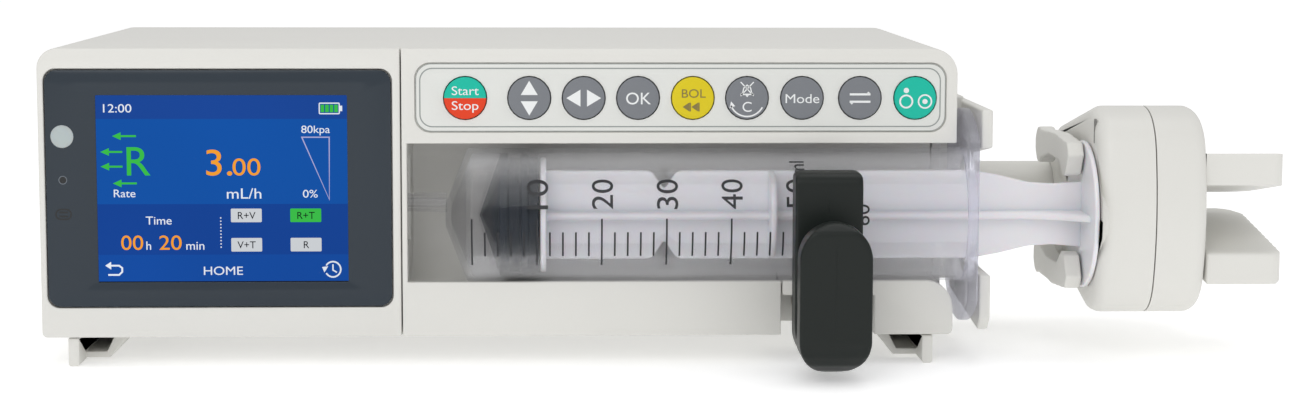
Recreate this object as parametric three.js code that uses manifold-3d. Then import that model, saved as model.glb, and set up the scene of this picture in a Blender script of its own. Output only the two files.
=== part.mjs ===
// A stackable syringe infusion pump with a 50 ml syringe loaded in its trough.
// Millimetres, +Z up, +X to the right along the syringe, +Y away from the person who faces the screen.
// Working coordinates: X = 0 at the casing's left side, Y = 0 at its front face, Z = 0 at the foot of
// the rails. The exported group is shifted so that its origin is the bottom centre of the whole pump.
import * as THREE from "three";
import { mergeVertices } from "three/addons/utils/BufferGeometryUtils.js";
import Module from "manifold-3d";

const wasm = await Module();
wasm.setup();

// ---------------------------------------------------------------- driving dimensions
const GAP = 0.3; // clearance between pieces that touch on the real pump
const WALL = 2.2; // moulded wall

const CASE_WIDTH = 211;
const CASE_DEPTH = 112;
const RAIL_HEIGHT = 6.9; // casing bottom above the table
const CASE_HEIGHT = 66.7;
const CASE_TOP = RAIL_HEIGHT + CASE_HEIGHT;
const FRONT_PLATE = 3; // thickness of the two front mouldings
const TOP_LEFT_RADIUS = 4.7;
const TOP_RIGHT_RADIUS = 6;

const SEAM_X = 82.65; // seam between the screen module and the syringe module
const GLASS = { x0: 1.7, x1: 80.4, z0: 14.1, z1: 68.6, radius: 2.8, thick: 1.5 };
const LCD = { width: 64.5, height: 48.4, thick: 2.6, x: 41.8, z: 41.3 };
const STATUS_LIGHT = { x: 5.5, z: 53.4, radius: 2.6 };
const LIGHT_SENSOR = { x: 5.5, z: 43.4, radius: 0.8 };

const LEDGE_TOP = 19.55; // front lip under the syringe
const STRIP_BOTTOM = 51.7; // underside of the key strip
const LABEL = { x0: 86.1, x1: 208.2, z0: 54.5, z1: 70.1, radius: 3.6, thick: 0.35 };
const KEY_Z = 62.2;
const KEY_RADIUS = 4.84;
const KEY_PROUD = 0.4;
const KEY_STEM = 4.2;
const FIRST_KEY_X = 97.45;
// Each key with its distance from the key before it.
const KEYS = [
  ["start_stop_key", 0, 0x28bea5],
  ["up_down_key", 14.7, 0x7d7f83],
  ["left_right_key", 12.5, 0x7d7f83],
  ["ok_key", 12.5, 0x7d7f83],
  ["bolus_key", 12.6, 0xdec824],
  ["mute_clear_key", 12.5, 0x7d7f83],
  ["mode_key", 12.7, 0x7d7f83],
  ["swap_key", 13.4, 0x7d7f83],
  ["power_key", 12.8, 0x28bea5],
];

const SYRINGE = { y: 9, z: 34.2, outer: 15.6, inner: 14.5, shoulder: 97.6, coneTip: 92.5 };
const NOZZLE = { radius: 2.3, bore: 1.1, rise: 3, tip: 81.6 };
const FLANGE = { x0: 212.7, x1: 215.2, height: 50, width: 34 };
const TROUGH_RADIUS = 16.2;
const TROUGH_LEFT = 84;
const TROUGH_BACK = 27.4; // back of the trough's rear wall
const STOPPER = { tip: 100.4, shoulder: 105.3, back: 114.3, radius: 14.3 };
const ROD = {
  front: 114.6,
  rib: 10.4,
  waist: 7.2,
  web: 0.9,
  taperStart: 217,
  taperEnd: 229.4,
  levelRib: 4.4, // the level web is narrower than the upright one
  levelFlare: 230, // from here it widens to the thumb disc
};
const THUMB_DISC = { x0: 241.9, x1: 243.1, radius: 17.3 };

const NOTCH = { x0: 170.8, x1: 192.25, depth: 20.7, top: 16.2 };
const CLAMP = {
  x: 180,
  z: 12,
  arm: 15.4, // width of the bar in front of the syringe
  tab: 16.2, // width of the thumb tab
  back: -6.9,
  front: -31,
  top: 46.3,
  tabTop: 36.5,
  bottom: 1.9,
};
const CLAMP_ARM_THICK = 8;
const CLAMP_TAB_THICK = 7;
const CLAMP_SHAFT = { boss: 3.8, core: 2, end: 62 };
const CLAMP_SPRING = { radius: 2.9, wire: 0.4, turns: 7 };

const TUBE = { y: 57, z: SYRINGE.z, outer: 8, inner: 6.4, left: 112.6, right: 255 };
const HEAD = { x0: 243.4, seam: 256.5, x1: 268.7 };
const CLAW_PIVOT = { y: 40, rise: 13.8 };
const CLAW = { x0: 237.6, x1: 241.5 };
const GRIP = { x1: 287.1, front: -3, slope: 0.15, thick: 7.4, reach: 11.6 };
const FIXED_GRIP_BACK = 33; // the fixed grip ends short of the lever's, so that the lever can close on it
const LEVER_BACK = 38;
const LEVER_SHAFT = 4;

const SCREW = { y: 78, z: SYRINGE.z, radius: 4 };
const GUIDE = { y: 57, z: 55, radius: 4 };
const CARRIAGE = { x0: 92, x1: 112, y0: 45, y1: 90, z0: 24, z1: 46, top: 63 };
const CHASSIS = {
  x0: 79,
  x1: 205,
  y0: 43,
  y1: 90.5,
  z0: 10,
  base: 2, // thickness of the floor plate
  baseFront: 66, // the floor plate starts behind the clamp's shaft
  top: 64,
  plate: 5, // thickness of the two end plates
};
const MOTOR = { x0: 36, x1: 70, y: 94, z: 24.6, side: 28 };
const PULLEY = { x0: 72.6, x1: 78.4, screw: 8, motor: 6 };

const INLET = { x0: 160, x1: 188, z0: 16, z1: 36, depth: 20 };
const DOOR = { x0: 22, x1: 70, y0: 30, y1: 76 };
const SPEAKER = { x0: WALL + GAP, thick: 6, y: 94, z: 52, radius: 12 };
const HOLDER = { x0: 216.8, x1: 219.4, y0: 0, y1: 46, z0: 7.6, z1: 59.4 };

const OVERALL = { x0: 0, x1: GRIP.x1, y0: CLAMP.front, y1: CASE_DEPTH };

// ---------------------------------------------------------------- solids
const ROUND = 24; // sides of a round piece
const SMALL_ROUND = 12;
const ARC_STEPS = 5; // steps of a rounded corner

function solid(geometry) {
  geometry.deleteAttribute("normal");
  geometry.deleteAttribute("uv");
  const merged = mergeVertices(geometry, 1e-4);
  const vertProperties = merged.attributes.position.array;
  const triVerts = new Uint32Array(merged.index.array);
  return new wasm.Manifold(new wasm.Mesh({ numProp: 3, vertProperties, triVerts }));
}

function geometryOf(body) {
  const mesh = body.getMesh();
  const geometry = new THREE.BufferGeometry();
  geometry.setAttribute("position", new THREE.BufferAttribute(mesh.vertProperties, mesh.numProp));
  geometry.setIndex(new THREE.BufferAttribute(mesh.triVerts, 1));
  const flat = geometry.toNonIndexed();
  flat.computeVertexNormals();
  return flat;
}

function join(...bodies) {
  return bodies.reduce((sum, body) => sum.add(body));
}

function cut(body, ...tools) {
  return tools.reduce((rest, tool) => rest.subtract(tool), body);
}

// A box from its lowest to its highest corner.
function block(x0, x1, y0, y1, z0, z1) {
  const geometry = new THREE.BoxGeometry(x1 - x0, y1 - y0, z1 - z0);
  return solid(geometry.translate((x0 + x1) / 2, (y0 + y1) / 2, (z0 + z1) / 2));
}

// A cylinder along X, Y or Z between two stations, centred on the other two coordinates.
function bar(axis, from, to, a, b, radius, sides = ROUND) {
  const geometry = new THREE.CylinderGeometry(radius, radius, to - from, sides);
  const middle = (from + to) / 2;
  if (axis === "x") return solid(geometry.rotateZ(-Math.PI / 2).translate(middle, a, b));
  if (axis === "y") return solid(geometry.translate(a, middle, b));
  return solid(geometry.rotateX(Math.PI / 2).translate(a, b, middle));
}

// A turned piece about an axis along X; the profile lists [radius, x] from one end round to the other.
function turned(profile, y, z, sides = ROUND) {
  const points = profile.map(([radius, x]) => new THREE.Vector2(radius, x));
  const geometry = new THREE.LatheGeometry(points, sides);
  return facingOut(geometry.rotateZ(-Math.PI / 2).translate(0, y, z));
}

// A lathe's faces point out or in with the direction of its profile; a solid needs them out.
function facingOut(geometry) {
  const body = solid(geometry.clone());
  if (body.volume() > 0) return body;
  const index = geometry.index.array;
  for (let i = 0; i < index.length; i += 3) [index[i], index[i + 1]] = [index[i + 1], index[i]];
  return solid(geometry);
}

// A closed outline of plain points.
function outline(points) {
  return new THREE.Shape(points.map(([a, b]) => new THREE.Vector2(a, b)));
}

// A rectangle with its own radius at each corner, from the lower left one counter-clockwise.
function roundedRectangle(a0, a1, b0, b1, radii) {
  const four = Array.isArray(radii) ? radii : Array(4).fill(radii);
  const [lowerLeft, lowerRight, upperRight, upperLeft] = four;
  const shape = new THREE.Shape();
  const quarter = Math.PI / 2;
  shape.moveTo(a0 + lowerLeft, b0);
  shape.lineTo(a1 - lowerRight, b0);
  shape.absarc(a1 - lowerRight, b0 + lowerRight, lowerRight, -quarter, 0, false);
  shape.lineTo(a1, b1 - upperRight);
  shape.absarc(a1 - upperRight, b1 - upperRight, upperRight, 0, quarter, false);
  shape.lineTo(a0 + upperLeft, b1);
  shape.absarc(a0 + upperLeft, b1 - upperLeft, upperLeft, quarter, 2 * quarter, false);
  shape.lineTo(a0, b0 + lowerLeft);
  shape.absarc(a0 + lowerLeft, b0 + lowerLeft, lowerLeft, 2 * quarter, 3 * quarter, false);
  return shape;
}

// Turns an outline drawn in X-Y and extruded along Z into one drawn in Y-Z and extruded along X.
const YZ_TO_X = new THREE.Matrix4().makeBasis(
  new THREE.Vector3(0, 1, 0),
  new THREE.Vector3(0, 0, 1),
  new THREE.Vector3(1, 0, 0),
);

// An outline extruded along one axis: "y" takes X-Z outlines, "x" takes Y-Z ones, "z" takes X-Y ones.
function prism(axis, shape, from, to, steps = ARC_STEPS) {
  const geometry = new THREE.ExtrudeGeometry(shape, {
    depth: to - from,
    bevelEnabled: false,
    curveSegments: steps,
  });
  geometry.translate(0, 0, from);
  if (axis === "x") geometry.applyMatrix4(YZ_TO_X);
  if (axis === "y") geometry.rotateX(Math.PI / 2).scale(1, -1, 1);
  return facingOut(indexed(geometry));
}

function indexed(geometry) {
  geometry.deleteAttribute("normal");
  geometry.deleteAttribute("uv");
  return mergeVertices(geometry, 1e-4);
}

// ---------------------------------------------------------------- casing
function caseOutline(inset) {
  const shrink = (radius) => Math.max(radius - inset, 0.4);
  const radii = [1.2, 1.2, TOP_RIGHT_RADIUS, TOP_LEFT_RADIUS].map(shrink);
  return roundedRectangle(inset, CASE_WIDTH - inset, RAIL_HEIGHT + inset, CASE_TOP - inset, radii);
}

const REAR_SCREWS = [
  ["rear_screw_1", 9, 15],
  ["rear_screw_2", CASE_WIDTH - 9, 15],
  ["rear_screw_3", 9, 65],
  ["rear_screw_4", CASE_WIDTH - 9, 65],
];

function troughOpening(x0, x1) {
  const { y, z } = SYRINGE;
  const lip = y - Math.sqrt(TROUGH_RADIUS ** 2 - (z - LEDGE_TOP) ** 2);
  const start = Math.atan2(LEDGE_TOP - z, lip - y);
  const corner = 5;
  const back = y + TROUGH_RADIUS;
  const shape = new THREE.Shape();
  shape.moveTo(-2, LEDGE_TOP);
  shape.lineTo(lip, LEDGE_TOP);
  shape.absarc(y, z, TROUGH_RADIUS, start, 0, false);
  shape.lineTo(back, STRIP_BOTTOM - corner);
  shape.absarc(back - corner, STRIP_BOTTOM - corner, corner, 0, Math.PI / 2, false);
  shape.lineTo(-2, STRIP_BOTTOM);
  return prism("x", shape, x0, x1, 10);
}

function rearHousing() {
  const front = FRONT_PLATE + GAP;
  const inside = prism("y", caseOutline(WALL), front - 1, CASE_DEPTH - WALL);
  const vents = [0, 1, 2, 3, 4, 5, 6].map((i) => {
    const x = 100 + i * 5;
    return block(x, x + 2, CASE_DEPTH - WALL - 1, CASE_DEPTH + 1, 44, 60);
  });
  const speakerSlots = [-2, -1, 0, 1, 2].map((i) => {
    const y = SPEAKER.y + i * 4;
    return block(-1, WALL + 1, y - 0.8, y + 0.8, SPEAKER.z - 8, SPEAKER.z + 8);
  });
  const screwHoles = REAR_SCREWS.flatMap(([, x, z]) => [
    bar("y", CASE_DEPTH - 5, CASE_DEPTH + 1, x, z, 1.7, SMALL_ROUND),
    bar("y", CASE_DEPTH - 1.3, CASE_DEPTH + 1, x, z, 3.3, SMALL_ROUND),
  ]);
  return cut(
    prism("y", caseOutline(0), front, CASE_DEPTH),
    inside,
    troughOpening(CASE_WIDTH - 10, CASE_WIDTH + 1),
    block(NOTCH.x0 - GAP, CASE_WIDTH + 1, 0, NOTCH.depth + WALL + GAP, 0, LEDGE_TOP + 1),
    bar("x", CASE_WIDTH - WALL - 1, CASE_WIDTH + 1, TUBE.y, TUBE.z, TUBE.outer + 2.6),
    block(INLET.x0 - GAP, INLET.x1 + GAP, CASE_DEPTH - 5, CASE_DEPTH + 1, INLET.z0 - GAP, INLET.z1 + GAP),
    block(DOOR.x0, DOOR.x1, DOOR.y0, DOOR.y1, 0, RAIL_HEIGHT + WALL + 1),
    block(CLAMP.x - 4.5, CLAMP.x + 4.5, NOTCH.depth, CLAMP_SHAFT.end + 2, RAIL_HEIGHT + 1.4, RAIL_HEIGHT + 4),
    ...vents,
    ...speakerSlots,
    ...screwHoles,
  );
}

function batteryDoor() {
  const { x0, x1, y0, y1 } = DOOR;
  const plate = block(x0 + GAP, x1 - GAP, y0 + GAP, y1 - GAP, RAIL_HEIGHT, RAIL_HEIGHT + WALL - 0.4);
  const middle = (x0 + x1) / 2;
  const fingerGroove = bar("x", middle - 9, middle + 9, y1 - 8, RAIL_HEIGHT - 1.2, 2.2, SMALL_ROUND);
  return plate.subtract(fingerGroove);
}

function rearScrew(x, z) {
  const head = bar("y", CASE_DEPTH - 1, CASE_DEPTH - 0.1, x, z, 2.9, SMALL_ROUND);
  const shank = bar("y", CASE_DEPTH - 12, CASE_DEPTH - 0.9, x, z, 1.4, SMALL_ROUND);
  return join(head, shank);
}

// One rail: an outer plate and, a little behind its front, a hollow channel with a slanted inner wall.
function rail(plateX, side) {
  const at = (offset) => plateX + side * offset;
  const top = RAIL_HEIGHT - GAP;
  const section = (points, y0, y1) => {
    return prism("y", outline(points.map(([offset, z]) => [at(offset), z])), y0, y1);
  };
  const plate = section([[0, 0.4], [0.4, 0], [2.1, 0], [2.5, 0.4], [2.5, top], [0, top]], 1, 108);
  const channel = section([[0, 0.8], [8.3, 0.8], [13, top], [0, top]], 9, 108);
  const hollow = section([[2.5, 2.2], [7.5, 2.2], [10.2, top + 1], [2.5, top + 1]], 8, 109);
  return join(plate, channel.subtract(hollow));
}

function mainsInlet() {
  const { x0, x1, z0, z1, depth } = INLET;
  const rear = CASE_DEPTH;
  const middle = (x0 + x1) / 2;
  const socket = outline([
    [x0 + 3, z0 + 2.6],
    [x1 - 3, z0 + 2.6],
    [x1 - 3, z1 - 6.6],
    [x1 - 7, z1 - 2.6],
    [x0 + 7, z1 - 2.6],
    [x0 + 3, z1 - 6.6],
  ]);
  const front = rear - depth;
  const shell = cut(block(x0, x1, front, rear, z0, z1), prism("y", socket, front + 4, rear + 1));
  const blade = (x, z) => block(x - 1, x + 1, rear - depth + 3, rear - 4, z - 2, z + 2);
  const zLow = z0 + 7.5;
  return join(shell, blade(middle - 7, zLow), blade(middle + 7, zLow), blade(middle, z1 - 7));
}

function speaker() {
  const { x0, thick, y, z, radius } = SPEAKER;
  const magnet = bar("x", x0 + thick - 2.5, x0 + thick + 3, y, z, radius * 0.6);
  return join(bar("x", x0, x0 + thick - 2, y, z, radius), magnet);
}

// ---------------------------------------------------------------- screen module
function screenFrame() {
  const right = SEAM_X - GAP / 2;
  const face = roundedRectangle(0, right, RAIL_HEIGHT, CASE_TOP, [1.2, 0, 0, TOP_LEFT_RADIUS]);
  const { x0, x1, z0, z1, radius, thick } = GLASS;
  const seat = roundedRectangle(x0 - GAP, x1 + GAP, z0 - GAP, z1 + GAP, radius);
  const lcd = lcdBox(0.4);
  return cut(
    prism("y", face, 0, FRONT_PLATE),
    prism("y", seat, -1, thick + GAP),
    block(lcd.x0, lcd.x1, -1, FRONT_PLATE + 1, lcd.z0, lcd.z1),
  );
}

function lcdBox(margin) {
  const { width, height, x, z } = LCD;
  return {
    x0: x - width / 2 - margin,
    x1: x + width / 2 + margin,
    z0: z - height / 2 - margin,
    z1: z + height / 2 + margin,
  };
}

function touchGlass() {
  const { x0, x1, z0, z1, radius, thick } = GLASS;
  const hole = ({ x, z, radius: r }) => bar("y", -1, thick + 1, x, z, r, SMALL_ROUND);
  const plate = prism("y", roundedRectangle(x0, x1, z0, z1, radius), 0, thick);
  return cut(plate, hole({ ...STATUS_LIGHT, radius: STATUS_LIGHT.radius + 0.2 }), hole(LIGHT_SENSOR));
}

function statusLight() {
  return bar("y", 0, GLASS.thick - 0.1, STATUS_LIGHT.x, STATUS_LIGHT.z, STATUS_LIGHT.radius, SMALL_ROUND);
}

function lcdPanel() {
  const box = lcdBox(0);
  const front = GLASS.thick + GAP;
  return block(box.x0, box.x1, front, front + LCD.thick, box.z0, box.z1);
}

// A circuit board with a few tall parts on one side, given as [x0, x1, z0, z1] of each.
function uprightBoard(x0, x1, z0, z1, y, chips) {
  const board = block(x0, x1, y, y + 1.6, z0, z1);
  return join(board, ...chips.map(([a, b, c, d]) => block(a, b, y + 1.5, y + 4, c, d)));
}

function displayBoard() {
  return uprightBoard(8, 76, 12, 68, 9, [
    [14, 28, 20, 34],
    [34, 52, 40, 58],
    [58, 70, 18, 30],
  ]);
}

function keypadBoard() {
  return uprightBoard(90, 206.5, 55.6, 68.5, 7, [
    [94, 112, 58, 66],
    [150, 166, 58, 66],
  ]);
}

function mainBoard() {
  const board = block(8, 69, 31, 76, 36, 37.6);
  const chips = [
    [14, 32, 38, 56],
    [40, 50, 36, 46],
    [50, 64, 54, 72],
  ];
  return join(board, ...chips.map(([a, b, c, d]) => block(a, b, c, d, 37.5, 40.5)));
}

function powerBoard() {
  const board = block(98, 152, 93, 108, 11, 12.6);
  const parts = [
    [102, 118, 95, 106, 26],
    [124, 133, 96, 105, 22],
    [138, 148, 95, 106, 19],
  ];
  return join(board, ...parts.map(([a, b, c, d, top]) => block(a, b, c, d, 12.5, top)));
}

function batteryPack() {
  const cells = [0, 1].map((i) => bar("x", 8, 73, 40 + i * 19, 20.3, 9.2));
  return join(...cells, block(8, 73, 40, 59, 11.1, 29.5));
}

// ---------------------------------------------------------------- syringe module
function keyPositions() {
  let x = FIRST_KEY_X;
  return KEYS.map(([name, gap, colour]) => {
    x += gap;
    return { name, x, colour };
  });
}

function syringeBed() {
  const left = SEAM_X + GAP / 2;
  const y1 = FRONT_PLATE;
  const face = roundedRectangle(left, CASE_WIDTH, RAIL_HEIGHT, CASE_TOP, [0, 1.2, TOP_RIGHT_RADIUS, 0]);
  const { x0, x1, z0, z1, radius, thick } = LABEL;
  const recess = roundedRectangle(x0 - 0.2, x1 + 0.2, z0 - 0.2, z1 + 0.2, radius);
  const keyHoles = keyPositions().map(({ x }) => bar("y", -1, y1 + 1, x, KEY_Z, KEY_RADIUS + 0.25));
  const right = CASE_WIDTH - WALL - GAP;
  const wall = (x, y) => block(x, right, y, TROUGH_BACK, NOTCH.top + 0.2, STRIP_BOTTOM + WALL);
  const trough = join(wall(left, y1 - 0.01), wall(TROUGH_LEFT - 5.5, y1 + GAP));
  const lineSlot = block(TROUGH_LEFT - 3.4, TROUGH_LEFT + 1, y1 + 0.5, 17, 27.4, 47.8);
  return cut(
    join(prism("y", face, 0, y1), trough),
    prism("y", recess, -1, thick + 0.15),
    ...keyHoles,
    troughOpening(TROUGH_LEFT, CASE_WIDTH + 1),
    lineSlot,
    block(NOTCH.x0 - GAP, CASE_WIDTH + 1, -1, NOTCH.depth + WALL + GAP, 0, LEDGE_TOP + 0.01),
  );
}

function keyLabel() {
  const { x0, x1, z0, z1, radius, thick } = LABEL;
  const holes = keyPositions().map(({ x }) => bar("y", -1, 1, x, KEY_Z, KEY_RADIUS + 0.25));
  return cut(prism("y", roundedRectangle(x0, x1, z0, z1, radius), 0, thick), ...holes);
}

function key(x) {
  const cap = bar("y", -KEY_PROUD, KEY_STEM, x, KEY_Z, KEY_RADIUS);
  return join(cap, bar("y", FRONT_PLATE + 0.5, FRONT_PLATE + 1.8, x, KEY_Z, 5.7, SMALL_ROUND));
}

// The block at the right under the syringe: it carries the clamp shaft in a notch, and its right
// upper corner is rounded off so that the syringe's flange can drop in.
function clampBlock() {
  const x1 = CASE_WIDTH - 0.3;
  const face = roundedRectangle(NOTCH.x0, x1, RAIL_HEIGHT, LEDGE_TOP, [0, 1.2, 6.5, 0]);
  const depth = NOTCH.depth + WALL;
  const hole = bar("y", NOTCH.depth - 1, depth + 1, CLAMP.x, CLAMP.z, CLAMP_SHAFT.boss + 1.3, 20);
  return cut(
    prism("y", face, 0.2, depth),
    block(NOTCH.x0 - 1, NOTCH.x1, -1, NOTCH.depth, 0, NOTCH.top),
    block(NOTCH.x1 + WALL, x1 - WALL, FRONT_PLATE, depth - WALL, 0, LEDGE_TOP - 2 * WALL),
    bar("x", NOTCH.x0 - 1, CASE_WIDTH + 1, SYRINGE.y, SYRINGE.z, TROUGH_RADIUS, 48),
    hole,
  );
}

function flangeHolder() {
  const { x0, x1, y0, y1, z0, z1 } = HOLDER;
  const fork = outline([
    [y0 + 3, z0],
    [y1, z0 + 4],
    [y1, z1],
    [y0, z1],
    [y0, 50.5],
    [27, 47],
    [27, 21],
    [y0, 20.8],
    [y0, z0 + 3],
  ]);
  const spacer = block(CASE_WIDTH + GAP, x0 + 0.5, 30, y1, 16, z1 + 1.2);
  return join(prism("x", fork, x0, x1), spacer);
}

// ---------------------------------------------------------------- syringe
function syringeBarrel() {
  const { y, z, outer, inner, shoulder, coneTip } = SYRINGE;
  const skin = [
    [0, coneTip],
    [2.8, coneTip],
    [outer, shoulder],
    [outer, FLANGE.x1],
    [0, FLANGE.x1],
  ];
  const hollow = [
    [0, coneTip + 1.3],
    [2, coneTip + 1.3],
    [inner, shoulder + 1.2],
    [inner, 216],
    [0, 216],
  ];
  const round = bar("x", FLANGE.x0, FLANGE.x1, y, z, FLANGE.height / 2, 40);
  const across = block(FLANGE.x0 - 1, FLANGE.x1 + 1, y - FLANGE.width / 2, y + FLANGE.width / 2, 0, CASE_TOP);
  const nozzle = bar("x", NOZZLE.tip, coneTip + 3, y, z + NOZZLE.rise, NOZZLE.radius, SMALL_ROUND);
  const bore = bar("x", NOZZLE.tip - 1, coneTip + 4, y, z + NOZZLE.rise, NOZZLE.bore, 12);
  const body = join(turned(skin, y, z, 40), round.intersect(across), nozzle);
  return cut(body, turned(hollow, y, z, 40), bore);
}

function plungerStopper() {
  const { tip, shoulder, back, radius } = STOPPER;
  const body = radius - 0.8;
  const profile = [
    [0, tip],
    [radius, shoulder],
    [radius, shoulder + 1.8],
    [body, shoulder + 2.2],
    [body, shoulder + 4.6],
    [radius, shoulder + 5],
    [radius, shoulder + 6.4],
    [body, shoulder + 6.8],
    [body, back],
    [0, back],
  ];
  return turned(profile, SYRINGE.y, SYRINGE.z, 32);
}

function plungerRod() {
  const { y, z } = SYRINGE;
  const { front, rib, waist, web, taperStart, taperEnd, levelRib, levelFlare } = ROD;
  const notch = 143.6;
  const half = [
    [front, rib],
    [notch - 2.4, rib],
    [notch, rib - 2],
    [notch + 2.4, rib],
    [taperStart, rib],
    [taperEnd, waist],
    [THUMB_DISC.x0 - 4, waist],
    [THUMB_DISC.x0 + 0.5, waist + 1.2],
  ];
  const both = [...half, ...half.toReversed().map(([x, r]) => [x, -r])];
  const upright = prism("y", outline(both.map(([x, r]) => [x, z + r])), y - web, y + web);
  const flat = [
    [front, levelRib],
    [levelFlare, levelRib],
    [THUMB_DISC.x0 + 0.5, rib + 2.4],
  ];
  const flatBoth = [...flat, ...flat.toReversed().map(([x, r]) => [x, -r])];
  const level = prism("z", outline(flatBoth.map(([x, r]) => [x, y + r])), z - web, z + web);
  const frontDisc = bar("x", front, front + 1.4, y, z, 13.4);
  const supportDisc = bar("x", 168, 169.4, y, z, rib);
  const thumbDisc = bar("x", THUMB_DISC.x0, THUMB_DISC.x1, y, z, THUMB_DISC.radius, 40);
  return join(upright, level, frontDisc, supportDisc, thumbDisc);
}

// ---------------------------------------------------------------- barrel clamp
// The arm is a J seen from the side: it stands in front of the syringe, turns round at the bottom and
// rises again as a thumb tab, with room for a fingertip between the two.
function clampArm() {
  const { x, arm, tab, back, front, top, tabTop, bottom } = CLAMP;
  const armFront = back - CLAMP_ARM_THICK;
  const tabBack = front + CLAMP_TAB_THICK;
  const side = new THREE.Shape();
  side.moveTo(back, top);
  side.lineTo(armFront + 3, top);
  side.absarc(armFront + 3, top - 3, 3, Math.PI / 2, Math.PI, false);
  const gapFloor = bottom + CLAMP_TAB_THICK;
  const gapRadius = (armFront - tabBack) / 2;
  side.absarc(armFront - gapRadius, gapFloor + gapRadius, gapRadius, 0, -Math.PI, true);
  side.lineTo(tabBack, tabTop);
  side.lineTo(front + 2, tabTop);
  side.lineTo(front, tabTop - 2);
  side.lineTo(front, bottom + 8);
  side.bezierCurveTo(front, bottom - 1, back - 8, bottom - 2.5, back - 1, bottom + 4);
  side.lineTo(back, bottom + 6);
  const profile = prism("x", side, x - tab, x + tab, 8);
  const armFace = roundedRectangle(x - arm / 2, x + arm / 2, bottom, top, [arm / 2, arm / 2, 1.5, 1.5]);
  const tabFace = roundedRectangle(x - tab / 2, x + tab / 2, bottom, tabTop, tab / 2 - 0.01);
  const split = (armFront + tabBack) / 2;
  const armFaces = prism("y", armFace, split - 0.01, back + 1, 8);
  const faces = join(armFaces, prism("y", tabFace, front - 1, split, 8));
  return profile.intersect(faces);
}

function clampShaft() {
  const { back, x, z } = CLAMP;
  const { boss, core, end } = CLAMP_SHAFT;
  const thick = bar("y", back + GAP, NOTCH.depth + WALL, x, z, boss, SMALL_ROUND);
  return join(thick, bar("y", NOTCH.depth, end, x, z, core, SMALL_ROUND));
}

function ringY(y0, y1, outer, inner, sides = SMALL_ROUND) {
  const { x, z } = CLAMP;
  return cut(bar("y", y0, y1, x, z, outer, sides), bar("y", y0 - 1, y1 + 1, x, z, inner, sides));
}

function clampBush() {
  const { boss } = CLAMP_SHAFT;
  return ringY(NOTCH.depth, NOTCH.depth + WALL - GAP, boss + 1, boss + 0.2, 20);
}

function clampCollar() {
  const { end, core } = CLAMP_SHAFT;
  return ringY(end - 4, end - 1, core + 1.4, core + 0.2);
}

// A compression spring between the bush and the collar draws the clamp in; it is a helix swept with
// a six-sided wire.
function clampSpring() {
  const y0 = NOTCH.depth + WALL + 1;
  const y1 = CLAMP_SHAFT.end - 5;
  const { radius, wire, turns } = CLAMP_SPRING;
  class Helix extends THREE.Curve {
    getPoint(t) {
      const angle = t * turns * 2 * Math.PI;
      return new THREE.Vector3(radius * Math.cos(angle), y0 + t * (y1 - y0), radius * Math.sin(angle));
    }
  }
  const section = new THREE.Shape().absarc(0, 0, wire, 0, 2 * Math.PI, false);
  const geometry = new THREE.ExtrudeGeometry(section, {
    steps: turns * 8,
    curveSegments: 3,
    extrudePath: new Helix(),
  });
  return facingOut(indexed(geometry.translate(CLAMP.x, 0, CLAMP.z)));
}

// ---------------------------------------------------------------- pusher head
function headOutline(inset) {
  const shape = new THREE.Shape();
  shape.moveTo(10, 11 + inset);
  shape.lineTo(26, 14.6 + inset);
  shape.lineTo(55, 14.3 + inset);
  shape.lineTo(68 - inset, 20.3 + inset * 0.6);
  shape.quadraticCurveTo(70.5 - inset, 31, 68 - inset, 41.7 - inset * 0.6);
  shape.lineTo(47.7, 52.4 - inset);
  shape.lineTo(10, 59.7 - inset);
  shape.quadraticCurveTo(-2.5 + inset, 59.7 - inset, -5 + inset, 50);
  shape.quadraticCurveTo(-9 + inset, 34.5, -5 + inset, 20);
  shape.quadraticCurveTo(-2.5 + inset, 11 + inset, 10, 11 + inset);
  return shape;
}

function headLeftShell() {
  const { x0, seam } = HEAD;
  const { y, z } = SYRINGE;
  const right = seam - GAP / 2;
  const pivots = [1, -1].map((side) => {
    return bar("x", x0 - 1, x0 + 5, CLAW_PIVOT.y, z + side * CLAW_PIVOT.rise, 3.4, SMALL_ROUND);
  });
  return cut(
    prism("x", headOutline(0), x0, right, 8),
    prism("x", headOutline(WALL), x0 + WALL + 1.2, right + 1, 8),
    bar("x", x0 - 1, x0 + 1.6, y, z, 15.6, 32),
    bar("x", x0 - 1, x0 + 6, y, z, 3.3, SMALL_ROUND),
    bar("x", x0 - 1, x0 + 6, TUBE.y, TUBE.z, TUBE.outer + GAP),
    ...pivots,
  );
}

function pressurePlate() {
  const { y, z } = SYRINGE;
  const plate = bar("x", HEAD.x0 + 0.2, HEAD.x0 + 1.3, y, z, 15.2, 32);
  return join(plate, bar("x", HEAD.x0 + 1, HEAD.x0 + 8, y, z, 2.9, SMALL_ROUND));
}

// A grip plate seen from above, leaving the head's right face, with its two outer corners rounded.
function gripPlate(x0, y0, y1) {
  const { x1 } = GRIP;
  const shape = new THREE.Shape();
  shape.moveTo(x0, y0);
  shape.lineTo(x1 - 2.5, y0);
  shape.absarc(x1 - 2.5, y0 + 2.5, 2.5, -Math.PI / 2, 0, false);
  shape.lineTo(x1, y1 - 7);
  shape.absarc(x1 - 7, y1 - 7, 7, 0, Math.PI / 2, false);
  shape.lineTo(x0, y1);
  return shape;
}

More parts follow.
